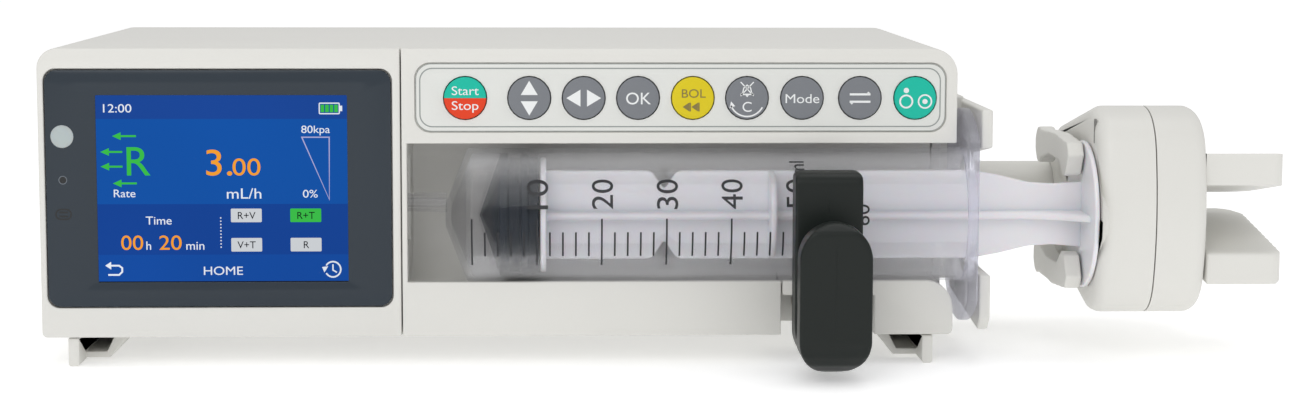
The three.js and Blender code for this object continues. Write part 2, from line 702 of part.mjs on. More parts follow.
// The plate rises to the back for the lever (side -1) and falls for the fixed grip (side 1).
function slopedPlate(x0, side, back) {
  const { front, slope, thick, reach } = GRIP;
  const middle = TUBE.z + side * reach;
  const plate = prism("z", gripPlate(x0, front, back), -thick / 2, thick / 2, 6);
  const tilt = new THREE.Matrix4().makeBasis(
    new THREE.Vector3(1, 0, 0),
    new THREE.Vector3(0, 1, -side * slope),
    new THREE.Vector3(0, 0, 1),
  );
  tilt.setPosition(0, 0, middle + side * slope * front);
  return plate.transform(tilt.elements);
}

function headRightShell() {
  const { seam, x1 } = HEAD;
  const left = seam + GAP / 2;
  const shell = cut(
    prism("x", headOutline(0), left, x1, 8),
    prism("x", headOutline(WALL), left - 1, x1 - WALL, 8),
    bar("x", x1 - 4, x1 + 1, TUBE.y, TUBE.z, LEVER_SHAFT + GAP),
  );
  return join(shell, slopedPlate(x1 - 1, 1, FIXED_GRIP_BACK));
}

function clutchLever() {
  const x0 = HEAD.x1 + 0.5;
  const { y, z } = TUBE;
  const { slope, thick, reach, front } = GRIP;
  const back = LEVER_BACK;
  const low = z - reach + slope * (back - front);
  const armWidth = 8;
  const arm = outline([
    [back - armWidth, low - thick / 2 - 1.2],
    [y, z - 6.8],
    [y, z + 6],
    [back - armWidth, low + thick / 2 - 1.2],
  ]);
  const hub = bar("x", x0, x0 + armWidth, y, z, 7, 20);
  const shaft = bar("x", HEAD.seam + 2, x0 + 1, y, z, LEVER_SHAFT, SMALL_ROUND);
  return join(slopedPlate(x0, -1, back), prism("x", arm, x0, x0 + armWidth), hub, shaft);
}

// A claw lies flat beside the head's left face, and its tip laps over the rim of the thumb disc.
function claw(side) {
  const { x0, x1 } = CLAW;
  const pivotZ = SYRINGE.z + side * CLAW_PIVOT.rise;
  const at = (points) => outline(points.map(([y, rise]) => [y, SYRINGE.z + side * rise]));
  const arm = at([
    [41, 9.8],
    [27, 12.5],
    [15, 12.2],
    [9.5, 8.9],
    [6.5, 9.6],
    [3.2, 14.4],
    [5.2, 17.2],
    [20, 18.2],
    [41, 17.6],
  ]);
  const hub = bar("x", x0, x1, CLAW_PIVOT.y, pivotZ, 4.4, 20);
  const pin = bar("x", x1 - 1, HEAD.x0 + 9, CLAW_PIVOT.y, pivotZ, 3, SMALL_ROUND);
  return join(prism("x", arm, x0, x1), hub, pin);
}

function driveTube() {
  const { y, z, outer, inner, left, right } = TUBE;
  return cut(bar("x", left, right, y, z, outer), bar("x", left - 1, right + 1, y, z, inner));
}

function tubeSeal() {
  const { y, z, outer } = TUBE;
  const x1 = CASE_WIDTH;
  return cut(
    bar("x", x1 - WALL, x1, y, z, outer + 2.3),
    bar("x", x1 - WALL - 1, x1 + 1, y, z, outer + 0.25),
  );
}

function clutchRod() {
  return bar("x", CARRIAGE.x0 + 3, HEAD.seam + 1.7, TUBE.y, TUBE.z, 2, SMALL_ROUND);
}

// ---------------------------------------------------------------- drive
function driveChassis() {
  const { x0, x1, y0, y1, z0, base, baseFront, top, plate } = CHASSIS;
  const side = (a, b) => block(a, b, y0, y1, z0, top);
  const bearingHole = bar("x", x0 - 1, x1 + 1, SCREW.y, SCREW.z, 8);
  const guideHole = bar("x", x0 - 1, x1 + 1, GUIDE.y, GUIDE.z, GUIDE.radius + 0.2, SMALL_ROUND);
  const tubeHole = bar("x", x1 - plate - 1, x1 + 1, TUBE.y, TUBE.z, TUBE.outer + 0.6);
  const motorFace = MOTOR.x1 + GAP;
  const motorPlate = block(motorFace, motorFace + 1.5, y1 - 20, MOTOR.y + 14, z0, MOTOR.z + 14);
  const shaftHole = bar("x", motorFace - 1, motorFace + 3, MOTOR.y, MOTOR.z, 4, SMALL_ROUND);
  const foot = block(motorFace, x0 + 1, y1 - 20, y1, z0, z0 + base);
  const floor = block(x0, x1, baseFront, y1, z0, z0 + base);
  const bearer = join(floor, side(x0, x0 + plate), side(x1 - plate, x1));
  return join(cut(bearer, bearingHole, guideHole, tubeHole), foot, motorPlate.subtract(shaftHole));
}

function stepperMotor() {
  const { x0, x1, y, z, side } = MOTOR;
  const half = side / 2;
  const body = prism("x", roundedRectangle(y - half, y + half, z - half, z + half, 3), x0, x1);
  return cut(body, bar("x", x1 - 12, x1 + 1, y, z, 2.8, SMALL_ROUND));
}

function motorPulley() {
  const { x0, x1, motor } = PULLEY;
  const wheel = bar("x", x0, x1, MOTOR.y, MOTOR.z, motor);
  return join(wheel, bar("x", MOTOR.x1 - 11, x0 + 1, MOTOR.y, MOTOR.z, 2.5, SMALL_ROUND));
}

function screwPulley() {
  const { x0, x1, screw } = PULLEY;
  const { y, z, radius } = SCREW;
  return cut(bar("x", x0, x1, y, z, screw), bar("x", x0 - 1, x1 + 1, y, z, radius + 0.2, SMALL_ROUND));
}

// The outer tangent outline round the two pulleys, each enlarged by the same amount.
function beltOutline(extra) {
  const from = new THREE.Vector2(SCREW.y, SCREW.z);
  const to = new THREE.Vector2(MOTOR.y, MOTOR.z);
  const direction = to.clone().sub(from).angle();
  const lean = Math.acos((PULLEY.screw - PULLEY.motor) / from.distanceTo(to));
  const shape = new THREE.Shape();
  shape.absarc(from.x, from.y, PULLEY.screw + extra, direction + lean, direction - lean + 2 * Math.PI, false);
  shape.absarc(to.x, to.y, PULLEY.motor + extra, direction - lean, direction + lean, false);
  return shape;
}

function driveBelt() {
  const x0 = PULLEY.x0 + 0.8;
  const x1 = PULLEY.x1 - 0.8;
  return prism("x", beltOutline(1.5), x0, x1, 12).subtract(prism("x", beltOutline(0.3), x0 - 1, x1 + 1, 12));
}

function leadScrew() {
  return bar("x", PULLEY.x0 - 0.3, CHASSIS.x1 + 1, SCREW.y, SCREW.z, SCREW.radius, SMALL_ROUND);
}

function screwBearing(x0) {
  const { y, z, radius } = SCREW;
  const ring = bar("x", x0, x0 + CHASSIS.plate, y, z, 7.7);
  return cut(ring, bar("x", x0 - 1, x0 + CHASSIS.plate + 1, y, z, radius + 0.2, SMALL_ROUND));
}

function guideRod() {
  return bar("x", CHASSIS.x0, CHASSIS.x1, GUIDE.y, GUIDE.z, GUIDE.radius, SMALL_ROUND);
}

function carriage() {
  const { x0, x1, y0, y1, z0, z1, top } = CARRIAGE;
  const low = block(x0, x1, y0, y1, z0, z1);
  const tower = block(x0, x1, GUIDE.y - 8, GUIDE.y + 8, z1 - 1, top);
  return cut(
    join(low, tower),
    bar("x", x0 - 1, x1 + 1, GUIDE.y, GUIDE.z, GUIDE.radius + 0.3, SMALL_ROUND),
    bar("x", x0 - 1, x1 + 1, SCREW.y, SCREW.z, SCREW.radius + 0.6, SMALL_ROUND),
    bar("x", x0 - 1, x1 + 1, TUBE.y, TUBE.z, 2.5, SMALL_ROUND),
    block(x0 + 2.6, x1 - 2.6, SCREW.y - 7.4, SCREW.y + 7.4, z0 + 4.5, z1 + 1),
  );
}

function halfNut() {
  const { x0, x1, z1 } = CARRIAGE;
  const half = block(x0 + 2.9, x1 - 2.9, SCREW.y - 7, SCREW.y + 7, SCREW.z + 0.2, z1 - 0.4);
  return half.subtract(bar("x", x0, x1, SCREW.y, SCREW.z, SCREW.radius + GAP, SMALL_ROUND));
}

// ---------------------------------------------------------------- finishes
const CASING = { color: 0xdddcd7, roughness: 0.45, metalness: 0 };
const CASING_SHADE = { color: 0xc6c5c1, roughness: 0.5, metalness: 0 };
const DARK_GLASS = { color: 0x404951, roughness: 0.12, metalness: 0 };
const BLACK_PLASTIC = { color: 0x2b302f, roughness: 0.4, metalness: 0 };
const CIRCUIT_BOARD = { color: 0x1f5a38, roughness: 0.55, metalness: 0 };
const STEEL = { color: 0xb8bbbd, roughness: 0.3, metalness: 1 };
const ALUMINIUM = { color: 0xc9ccce, roughness: 0.4, metalness: 1 };
const BRASS = { color: 0xb5964a, roughness: 0.35, metalness: 1 };
const CLEAR_PLASTIC = { color: 0xd9d8e2, roughness: 0.12, metalness: 0 };
const MILKY_PLASTIC = { color: 0xdedce2, roughness: 0.4, metalness: 0 };
const RUBBER = { color: 0x1e2a38, roughness: 0.7, metalness: 0 };
const LABEL_FILM = { color: 0xdcddd9, roughness: 0.35, metalness: 0 };

// ---------------------------------------------------------------- assembly
const pump = new THREE.Group();
const shift = new THREE.Group();
shift.position.set(-(OVERALL.x0 + OVERALL.x1) / 2, -(OVERALL.y0 + OVERALL.y1) / 2, 0);
pump.add(shift);

function place(name, body, finish) {
  const mesh = new THREE.Mesh(geometryOf(body), new THREE.MeshStandardMaterial(finish));
  mesh.name = name;
  shift.add(mesh);
}

place("rear_housing", rearHousing(), CASING);
place("screen_frame", screenFrame(), CASING);
place("syringe_bed", syringeBed(), CASING);
place("clamp_block", clampBlock(), CASING_SHADE);
place("flange_holder", flangeHolder(), CASING);
place("left_rail", rail(5.7, 1), CASING);
place("right_rail", rail(206.2, -1), CASING);
place("battery_door", batteryDoor(), CASING);
REAR_SCREWS.forEach(([name, x, z]) => place(name, rearScrew(x, z), STEEL));
place("mains_inlet", mainsInlet(), BLACK_PLASTIC);
place("speaker", speaker(), BLACK_PLASTIC);

place("touch_glass", touchGlass(), DARK_GLASS);
place("status_light", statusLight(), MILKY_PLASTIC);
place("lcd_panel", lcdPanel(), BLACK_PLASTIC);
place("display_board", displayBoard(), CIRCUIT_BOARD);
place("main_board", mainBoard(), CIRCUIT_BOARD);
place("power_board", powerBoard(), CIRCUIT_BOARD);
place("battery_pack", batteryPack(), { color: 0x2f4f7a, roughness: 0.45, metalness: 0 });

place("key_label", keyLabel(), LABEL_FILM);
place("keypad_board", keypadBoard(), CIRCUIT_BOARD);
keyPositions().forEach(({ name, x, colour }) => place(name, key(x), { color: colour, roughness: 0.4 }));

place("syringe_barrel", syringeBarrel(), CLEAR_PLASTIC);
place("plunger_rod", plungerRod(), MILKY_PLASTIC);
place("plunger_stopper", plungerStopper(), RUBBER);

place("clamp_arm", clampArm(), BLACK_PLASTIC);
place("clamp_shaft", clampShaft(), STEEL);
place("clamp_bush", clampBush(), BRASS);
place("clamp_collar", clampCollar(), STEEL);
place("clamp_spring", clampSpring(), STEEL);

place("head_left_shell", headLeftShell(), CASING);
place("head_right_shell", headRightShell(), CASING);
place("clutch_lever", clutchLever(), CASING);
place("upper_claw", claw(1), CASING);
place("lower_claw", claw(-1), CASING);
place("pressure_plate", pressurePlate(), STEEL);
place("drive_tube", driveTube(), CASING);
place("tube_seal", tubeSeal(), RUBBER);
place("clutch_rod", clutchRod(), STEEL);

place("drive_chassis", driveChassis(), ALUMINIUM);
place("stepper_motor", stepperMotor(), STEEL);
place("motor_pulley", motorPulley(), ALUMINIUM);
place("screw_pulley", screwPulley(), ALUMINIUM);
place("drive_belt", driveBelt(), RUBBER);
place("lead_screw", leadScrew(), STEEL);
place("left_screw_bearing", screwBearing(CHASSIS.x0), STEEL);
place("right_screw_bearing", screwBearing(CHASSIS.x1 - CHASSIS.plate), STEEL);
place("guide_rod", guideRod(), STEEL);
place("carriage", carriage(), ALUMINIUM);
place("half_nut", halfNut(), BRASS);

export default pump;
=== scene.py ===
# A slim stackable syringe pump with a 50 ml syringe loaded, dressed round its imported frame.
# Lengths are millimetres from the casing's left side, its front face and the table until a piece is
# finished; then they become metres in the frame's own coordinates.
import math

import bmesh
import bpy
from mathutils import Matrix, Vector


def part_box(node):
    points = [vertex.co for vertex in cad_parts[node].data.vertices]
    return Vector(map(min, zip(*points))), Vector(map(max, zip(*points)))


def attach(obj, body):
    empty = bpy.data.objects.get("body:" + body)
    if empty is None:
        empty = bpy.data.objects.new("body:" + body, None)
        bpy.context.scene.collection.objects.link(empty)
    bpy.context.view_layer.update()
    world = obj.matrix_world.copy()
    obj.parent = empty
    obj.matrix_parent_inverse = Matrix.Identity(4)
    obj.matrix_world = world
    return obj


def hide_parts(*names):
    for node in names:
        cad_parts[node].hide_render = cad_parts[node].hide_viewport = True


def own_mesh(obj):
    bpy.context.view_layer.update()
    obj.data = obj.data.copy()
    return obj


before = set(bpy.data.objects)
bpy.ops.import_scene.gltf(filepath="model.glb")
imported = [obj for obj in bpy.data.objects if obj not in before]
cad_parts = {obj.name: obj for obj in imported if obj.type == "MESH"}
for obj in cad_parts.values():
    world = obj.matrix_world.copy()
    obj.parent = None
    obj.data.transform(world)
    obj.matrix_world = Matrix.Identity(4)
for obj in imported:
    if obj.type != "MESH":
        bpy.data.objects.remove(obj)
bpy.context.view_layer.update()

MM = 0.001
corner = Vector(
    (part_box("screen_frame")[0].x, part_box("screen_frame")[0].y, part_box("left_rail")[0].z)
)
TO_FRAME = Matrix.Translation(corner) @ Matrix.Scale(MM, 4)


def span(node):
    """A node's box in the casing's millimetres: x0, x1, y0, y1, z0, z1."""
    low, high = ((p - corner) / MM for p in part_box(node))
    return low.x, high.x, low.y, high.y, low.z, high.z


# ---- Studio -------------------------------------------------------------------------------------
# The pump stands on a pale sheet under two broad lamps, with white all round. The camera is a little
# above the casing and left of the whole pump's middle, turned slightly to the right.
EYE = (117.0, -597.1, 103.9)
EYE_TURN = (83.73, -0.14, -2.23)
LENS = 71.84

camera = bpy.data.objects.new("camera", bpy.data.cameras.new("camera"))
camera.data.lens = LENS
camera.data.sensor_width = 36
camera.location = TO_FRAME @ Vector(EYE)
camera.rotation_euler = [math.radians(a) for a in EYE_TURN]
bpy.context.collection.objects.link(camera)
bpy.context.scene.camera = camera
bpy.context.scene.view_settings.view_transform = "Standard"


def softbox(name, spot, aim, size, power):
    lamp = bpy.data.lights.new(name, "AREA")
    lamp.shape, lamp.size, lamp.energy = "DISK", size, power
    holder = bpy.data.objects.new(name, lamp)
    holder.location = TO_FRAME @ Vector(spot)
    way = TO_FRAME @ Vector(aim) - holder.location
    holder.rotation_euler = way.to_track_quat("-Z", "Y").to_euler()
    bpy.context.collection.objects.link(holder)


MIDDLE = (140, 40, 35)
SKY_STRENGTH = 0.74
softbox("front_lamp", (-150, -900, 700), MIDDLE, 0.7, 2.5)
softbox("top_lamp", (320, 60, 1100), MIDDLE, 0.6, 1.3)

sky = bpy.data.worlds.new("studio")
sky.use_nodes = True
sky.node_tree.nodes["Background"].inputs["Color"].default_value = (1, 1, 1, 1)
sky.node_tree.nodes["Background"].inputs["Strength"].default_value = SKY_STRENGTH
bpy.context.scene.world = sky


# ---- Casing finish ------------------------------------------------------------------------------
# The shells are moulded in warm white ABS with a fine spark-eroded grain. Colour drifts a little over
# a face, handling leaves it slightly smoother in patches, and the grain shows in the gloss.
def srgb(red, green, blue, alpha=1.0):
    def linear(c):
        c /= 255
        return c / 12.92 if c <= 0.04045 else ((c + 0.055) / 1.055) ** 2.4

    return (linear(red), linear(green), linear(blue), alpha)


class Wire:
    """A socket that reads like a number: an expression on wires adds its Math nodes."""

    def __init__(self, finish, socket):
        self.finish, self.socket = finish, socket

    def _math(self, operation, *values):
        return self.finish.node("Math", dict(enumerate(values)), operation=operation)

    def __add__(self, other):
        return self._math("ADD", self, other)

    def __radd__(self, other):
        return self._math("ADD", other, self)

    def __sub__(self, other):
        return self._math("SUBTRACT", self, other)

    def __rsub__(self, other):
        return self._math("SUBTRACT", other, self)

    def __mul__(self, other):
        return self._math("MULTIPLY", self, other)

    def __rmul__(self, other):
        return self._math("MULTIPLY", other, self)

    def __pow__(self, other):
        return self._math("POWER", self, other)

    def above(self, edge):
        return self._math("GREATER_THAN", self, edge)

    def wave(self):
        return self._math("SINE", self)


class Finish:
    """One material, its main shader and the wires that feed it."""

    def __init__(self, name, **fixed):
        self.material = bpy.data.materials.new(name)
        self.material.use_nodes = True
        self.tree = self.material.node_tree
        self.shader = self.tree.nodes["Principled BSDF"]
        for label, value in fixed.items():
            socket = label.replace("_", " ").title().replace("Ior", "IOR")
            self.shader.inputs[socket].default_value = value
        self.place = self.node("TexCoord", out="Object")

    def node(self, kind, sockets=None, out=0, stops=None, **settings):
        made = self.tree.nodes.new("ShaderNode" + kind)
        for label, value in settings.items():
            setattr(made, label, value)
        for i, (position, colour) in enumerate(stops or []):
            ramp = made.color_ramp.elements
            stop = ramp[i] if i < 2 else ramp.new(position)
            stop.position, stop.color = position, colour
        for socket, value in (sockets or {}).items():
            self.feed(made.inputs[socket], value)
        return Wire(self, made.outputs[out])

    def feed(self, socket, value):
        if isinstance(value, Wire):
            self.tree.links.new(value.socket, socket)
        else:
            socket.default_value = value

    def noise(self, scale, detail=3.0, place=None):
        sockets = {"Vector": place or self.place, "Scale": scale, "Detail": detail}
        return self.node("TexNoise", sockets)

    def blend(self, first, second, share):
        return self.node("Mix", {0: share, 6: first, 7: second}, out=2, data_type="RGBA")

    def stretched(self, scale):
        return self.node("Mapping", {"Vector": self.place, "Scale": scale})

    def bump(self, height, distance, strength=1.0):
        sockets = {"Strength": strength, "Distance": distance, "Height": height}
        self.feed(self.shader.inputs["Normal"], self.node("Bump", sockets))

    def paint(self, colour=None, roughness=None):
        if colour is not None:
            self.feed(self.shader.inputs["Base Color"], colour)
        if roughness is not None:
            self.feed(self.shader.inputs["Roughness"], roughness)
        return self.material


def tinted(colour, factor):
    return (*(min(1.0, c * factor) for c in colour[:3]), 1.0)


def moulded(name, colour, rough=0.42, drift=0.03, grain=2600, depth=0.000012, **fixed):
    """Moulded plastic: a slow drift of colour, patches rubbed smoother, and a fine grain."""
    finish = Finish(name, **fixed)
    cloud = finish.noise(22, 4)
    grit = finish.noise(grain, 2)
    base = finish.blend(tinted(colour, 1 - drift), tinted(colour, 1 + drift), cloud)
    speck = finish.blend(base, tinted(colour, 1 - 2 * drift), grit**3 * 0.5)
    finish.bump(grit, depth, 0.6)
    return finish.paint(speck, rough - 0.08 + cloud * 0.1 + grit * 0.08)


casing_white = moulded("satin_casing", srgb(218, 217, 212))
# A slightly darker copy of the casing colour: painted shade for the set-back face of the block under the
# syringe's end.
casing_painted_shade = moulded("satin_casing_painted_shade", srgb(215, 214, 209))


# ---- Shells -------------------------------------------------------------------------------------
# The rear housing, the two front mouldings, the block under the syringe's end, the flange fork, the
# rails and the battery door keep the frame's shape and gain the small radius of a moulded edge.
def piece(name, bm, materials, body, slot, *nodes, sharp=34.0):
    """Finishes a mesh drawn in millimetres as one piece that rides on a body."""
    bmesh.ops.transform(bm, matrix=TO_FRAME, verts=bm.verts)
    limit = math.radians(sharp)
    for face in bm.faces:
        face.smooth = True
    for edge in bm.edges:
        edge.smooth = len(edge.link_faces) == 2 and edge.calc_face_angle(0) < limit
    mesh = bpy.data.meshes.new(name)
    bm.to_mesh(mesh)
    bm.free()
    for material in materials if isinstance(materials, list) else [materials]:
        mesh.materials.append(material)
    made = bpy.data.objects.new(name, mesh)
    bpy.context.collection.objects.link(made)
    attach(made, body)
    if nodes:
        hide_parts(*nodes)
    return made


def copied(node):
    """The node's own mesh with its doubles merged and its flat faces whole again."""
    bm = bmesh.new()
    bm.from_mesh(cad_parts[node].data)
    bmesh.ops.transform(bm, matrix=TO_FRAME.inverted(), verts=bm.verts)
    bmesh.ops.remove_doubles(bm, verts=bm.verts, dist=0.002)
    bmesh.ops.dissolve_limit(
        bm, angle_limit=math.radians(0.4), verts=bm.verts, edges=bm.edges
    )
    return bm


def eased(bm, width, steps=3, angle=38.0, where=None):
    """Rounds the edges sharper than an angle, and only those that pass the test given."""
    limit = math.radians(angle)
    edges = [
        e
        for e in bm.edges
        if len(e.link_faces) == 2
        and e.calc_face_angle(0) > limit
        and (where is None or where(e))
    ]
    bmesh.ops.bevel(
        bm,
        geom=edges,
        offset=width,
        segments=steps,
        profile=0.5,
        affect="EDGES",
        clamp_overlap=False,
    )
    return bm


SHELLS = (
    # node, edge radius, material, slot
    ("rear_housing", 0.3, casing_white, "casing"),
    ("screen_frame", 0.35, casing_white, "casing"),
    ("syringe_bed", 0.3, casing_white, "casing"),
    # the block under the syringe's end wears the darker copy of the casing colour, painted shade
    ("clamp_block", 0.45, casing_painted_shade, "casing_shade"),
    ("flange_holder", 0.5, casing_white, "casing"),
    ("left_rail", 0.25, casing_white, "casing"),
    ("right_rail", 0.25, casing_white, "casing"),
    ("battery_door", 0.25, casing_white, "casing"),
)
for node, radius, material, slot in SHELLS:
    piece(node + "_shell", eased(copied(node), radius), material, "housing", slot, node)


# ---- Floor --------------------------------------------------------------------------------------
# A plain flat sheet of pale paper, wide enough to fill the view. It glows faintly, which keeps it white.
FLOOR_SIDE, FLOOR_FRONT, FLOOR_BACK = 9000, -3000, 9000
floor_corners = [
    (-FLOOR_SIDE, FLOOR_FRONT, 0),
    (FLOOR_SIDE, FLOOR_FRONT, 0),
    (FLOOR_SIDE, FLOOR_BACK, 0),
    (-FLOOR_SIDE, FLOOR_BACK, 0),
]
floor_mesh = bpy.data.meshes.new("floor")
floor_mesh.from_pydata([TO_FRAME @ Vector(p) for p in floor_corners], [], [(0, 1, 2, 3)])
paper = Finish("floor_paper", emission_color=(1, 1, 1, 1), emission_strength=0.32)
floor_mesh.materials.append(
    paper.paint(paper.blend(srgb(247, 247, 247), srgb(250, 250, 250), paper.noise(3)), 0.9)
)
floor = bpy.data.objects.new("floor", floor_mesh)
bpy.context.collection.objects.link(floor)

# ---- Touch glass --------------------------------------------------------------------------------
# A polished cover glass, printed slate grey on its back with a clear window for the display. It lies
# in the screen frame's seat. A small keyhole mark sits under the status light and the light sensor.
def rounded(points, radius, steps=6, closed=True):
    """Rounds an outline's corners; the radius is one number or one for each corner."""
    radii = radius if isinstance(radius, (list, tuple)) else [radius] * len(points)
    made = []
    for i, point in enumerate(points):
        here = Vector(point)
        end = not closed and i in (0, len(points) - 1)
        before = Vector(points[i - 1]) - here
        after = Vector(points[(i + 1) % len(points)]) - here
        half = before.angle(after) / 2 if not end else 0
        if end or radii[i] <= 0 or half > math.radians(87):
            made.append(tuple(here))
            continue
        reach = min(radii[i] / math.tan(half), 0.49 * before.length, 0.49 * after.length)
        arc = reach * math.tan(half)
        before.normalize()
        after.normalize()
        middle = here + (before + after).normalized() * (arc / math.sin(half))
        first = here + before * reach - middle
        last = here + after * reach - middle
        start = math.atan2(first.y, first.x)
        sweep = (math.atan2(last.y, last.x) - start + math.pi) % (2 * math.pi) - math.pi
        for k in range(steps + 1):
            a = start + sweep * k / steps
            made.append((middle.x + arc * math.cos(a), middle.y + arc * math.sin(a)))
    return made


def rectangle(a0, a1, b0, b1, radius, steps=6):
    return rounded([(a0, b0), (a1, b0), (a1, b1), (a0, b1)], radius, steps)


def drawn_in(points, distance):
    """The outline with every side moved inwards by a distance."""
    area = sum(
        points[i - 1][0] * points[i][1] - points[i][0] * points[i - 1][1]
        for i in range(len(points))
    )
    turn = 1 if area > 0 else -1
    made = []
    for i, point in enumerate(points):
        back = Vector(point) - Vector(points[i - 1])
        ahead = Vector(points[(i + 1) % len(points)]) - Vector(point)
        normals = [Vector((-v.y, v.x)).normalized() * turn for v in (back, ahead)]
        way = (normals[0] + normals[1]).normalized()
        made.append(tuple(Vector(point) + way * (distance / max(way.dot(normals[0]), 0.4))))
    return made


FACING = {
    # the plane an outline is drawn in, and the axis it is thickened along
    "y": lambda a, b, depth: (a, depth, b),
    "x": lambda a, b, depth: (depth, a, b),
    "z": lambda a, b, depth: (a, b, depth),
}


def skin(bm, rings, loop=False, material=0):
    """A closed skin over rings of points; a ring of one point is a pole."""
    rows = [[bm.verts.new(p) for p in ring] for ring in rings]
    faces = []
    for low, high in zip(rows, rows[1:] + rows[:1] if loop else rows[1:]):
        count = max(len(low), len(high))
        for i in range(count):
            j = (i + 1) % count
            quad = [low[i % len(low)], low[j % len(low)], high[j % len(high)], high[i % len(high)]]
            quad = list(dict.fromkeys(quad))
            if len(quad) > 2:
                faces.append(bm.faces.new(quad))
    if not loop:
        faces += [bm.faces.new(row) for row in (rows[0], rows[-1]) if len(row) > 2]
    for face in faces:
        face.material_index = material
    bmesh.ops.recalc_face_normals(bm, faces=faces)


def rim_stations(low, high, rim_low, rim_high, steps):
    """Depths of a plate's rings with how far each is drawn in, rounding both its rims."""
    stations = []
    for k in range(steps + 1):
        a = math.pi / 2 * k / steps
        stations.append((low + rim_low * (1 - math.cos(a)), rim_low * (1 - math.sin(a))))
    for k in range(steps + 1):
        a = math.pi / 2 * (1 - k / steps)
        stations.append((high - rim_high * (1 - math.cos(a)), rim_high * (1 - math.sin(a))))
    return stations


def plate(bm, outline, low, high, rim=0.0, axis="y", material=0, rim_high=None, steps=3):
    """An outline thickened along an axis, with rounded rims."""
    put = FACING[axis]
    rim_high = rim if rim_high is None else rim_high
    if rim or rim_high:
        stations = rim_stations(low, high, rim, rim_high, steps)
    else:
        stations = [(low, 0), (high, 0)]
    rings = [[put(a, b, depth) for a, b in drawn_in(outline, inset)] for depth, inset in stations]
    skin(bm, rings, material=material)


def band(bm, outer, inner, low, high, rim=0.0, axis="y", material=0, steps=2):
    """A frame between two outlines of as many points each, with rounded rims."""
    put = FACING[axis]
    stations = rim_stations(low, high, rim, rim, steps) if rim else [(low, 0), (high, 0)]
    rings = [[put(a, b, depth) for a, b in drawn_in(outer, inset)] for depth, inset in stations]
    rings += [
        [put(a, b, depth) for a, b in drawn_in(inner, -inset)] for depth, inset in stations[::-1]
    ]
    skin(bm, rings, loop=True, material=material)


def circle(a, b, radius, sides=48, start=0.0, stretch=1.0):
    turns = [start + 2 * math.pi * k / sides for k in range(sides)]
    return [(a + radius * math.cos(t), b + stretch * radius * math.sin(t)) for t in turns]


def lathe(bm, profile, a, b, axis="x", sides=96, material=0, loop=False):
    """A turned piece: the profile lists (station, radius) along the axis through a, b."""
    put = FACING[axis]
    rings = [
        [put(a, b, along)] if radius < 1e-4 else [put(p, q, along) for p, q in circle(a, b, radius, sides)]
        for along, radius in profile
    ]
    skin(bm, rings, loop=loop, material=material)


def gloss(name, colour, rough=0.08, haze=0.05, **fixed):
    """A polished surface with faint wipe marks in its gloss and a little depth in its colour."""
    finish = Finish(name, **fixed)
    wipe = finish.noise(9, 6, finish.stretched((1, 1, 6)))
    dust = finish.noise(420, 2)
    colour_mix = finish.blend(tinted(colour, 0.93), tinted(colour, 1.07), finish.noise(14, 3))
    finish.bump(wipe, 0.00004, 0.15)
    return finish.paint(colour_mix, rough + wipe * haze + dust**6 * 0.3)


slate_glass = gloss("slate_cover_glass", srgb(46, 54, 62), 0.1, 0.06, specular_ior_level=0.25)
dark_hole = moulded("sensor_well", srgb(22, 24, 26), 0.5)

GLASS_RADIUS = 2.8
gx0, gx1, gy0, gy1, gz0, gz1 = span("touch_glass")
px0, px1, py0, py1, pz0, pz1 = span("lcd_panel")
LIT_WIDTH, LIT_HEIGHT = 57.2, 43.1
lit_x = (px0 + px1) / 2 - LIT_WIDTH / 2
lit_top = (pz0 + pz1) / 2 + LIT_HEIGHT / 2
WINDOW_STEPS = 6

bm = bmesh.new()
window = rectangle(lit_x, lit_x + LIT_WIDTH, lit_top - LIT_HEIGHT, lit_top, 0.25, WINDOW_STEPS)
cover = rectangle(gx0, gx1, gz0, gz1, GLASS_RADIUS, WINDOW_STEPS)
band(bm, cover, window, gy0, gy1, 0.12)
SENSOR_X = 5.5
SENSOR_Z = 43.4
plate(bm, circle(SENSOR_X, SENSOR_Z, 0.8, 24), gy0 - 0.02, gy0 + 0.1, material=1)
sensor_edges = [circle(SENSOR_X, SENSOR_Z, radius, 24) for radius in (1.0, 0.8)]
band(bm, *sensor_edges, gy0 - 0.03, gy0 + 0.1, material=2)
MARK_Z = 35.5
mark = rectangle(SENSOR_X - 1.9, SENSOR_X + 1.9, MARK_Z - 1.3, MARK_Z + 1.3, 1.25, WINDOW_STEPS)
band(bm, mark, drawn_in(mark, 0.35), gy0 - 0.02, gy0 + 0.1, material=1)
for row in (-0.45, 0.45):
    bar = rectangle(SENSOR_X - 1.0, SENSOR_X + 1.0, MARK_Z + row - 0.2, MARK_Z + row + 0.2, 0.1, 2)
    plate(bm, bar, gy0 - 0.02, gy0 + 0.1, material=1)
sensor_rim = gloss("sensor_rim", srgb(92, 100, 108), 0.2)
piece("cover_glass", bm, [slate_glass, dark_hole, sensor_rim], "housing", "screen_glass", "touch_glass")

# The status light is a frosted lens that stands a little proud of the glass.
sx0, sx1, sy0, sy1, sz0, sz1 = span("status_light")
LENS_DOME = 0.25
lens_x, lens_z, lens_r = (sx0 + sx1) / 2, (sz0 + sz1) / 2, (sx1 - sx0) / 2
DOME_STEPS = 8
quarter = [math.pi / 2 * k / DOME_STEPS for k in range(DOME_STEPS + 1)]
dome = [(sy0 - LENS_DOME * math.cos(a), lens_r * math.sin(a)) for a in quarter]
bm = bmesh.new()
lathe(bm, dome + [(sy1, lens_r), (sy1, 0)], lens_x, lens_z, axis="y", sides=48)
frosted = moulded("frosted_lens", srgb(184, 186, 184), 0.5, grain=1500, subsurface_weight=0.2)
piece("status_lens", bm, frosted, "housing", "light_lens", "status_light")


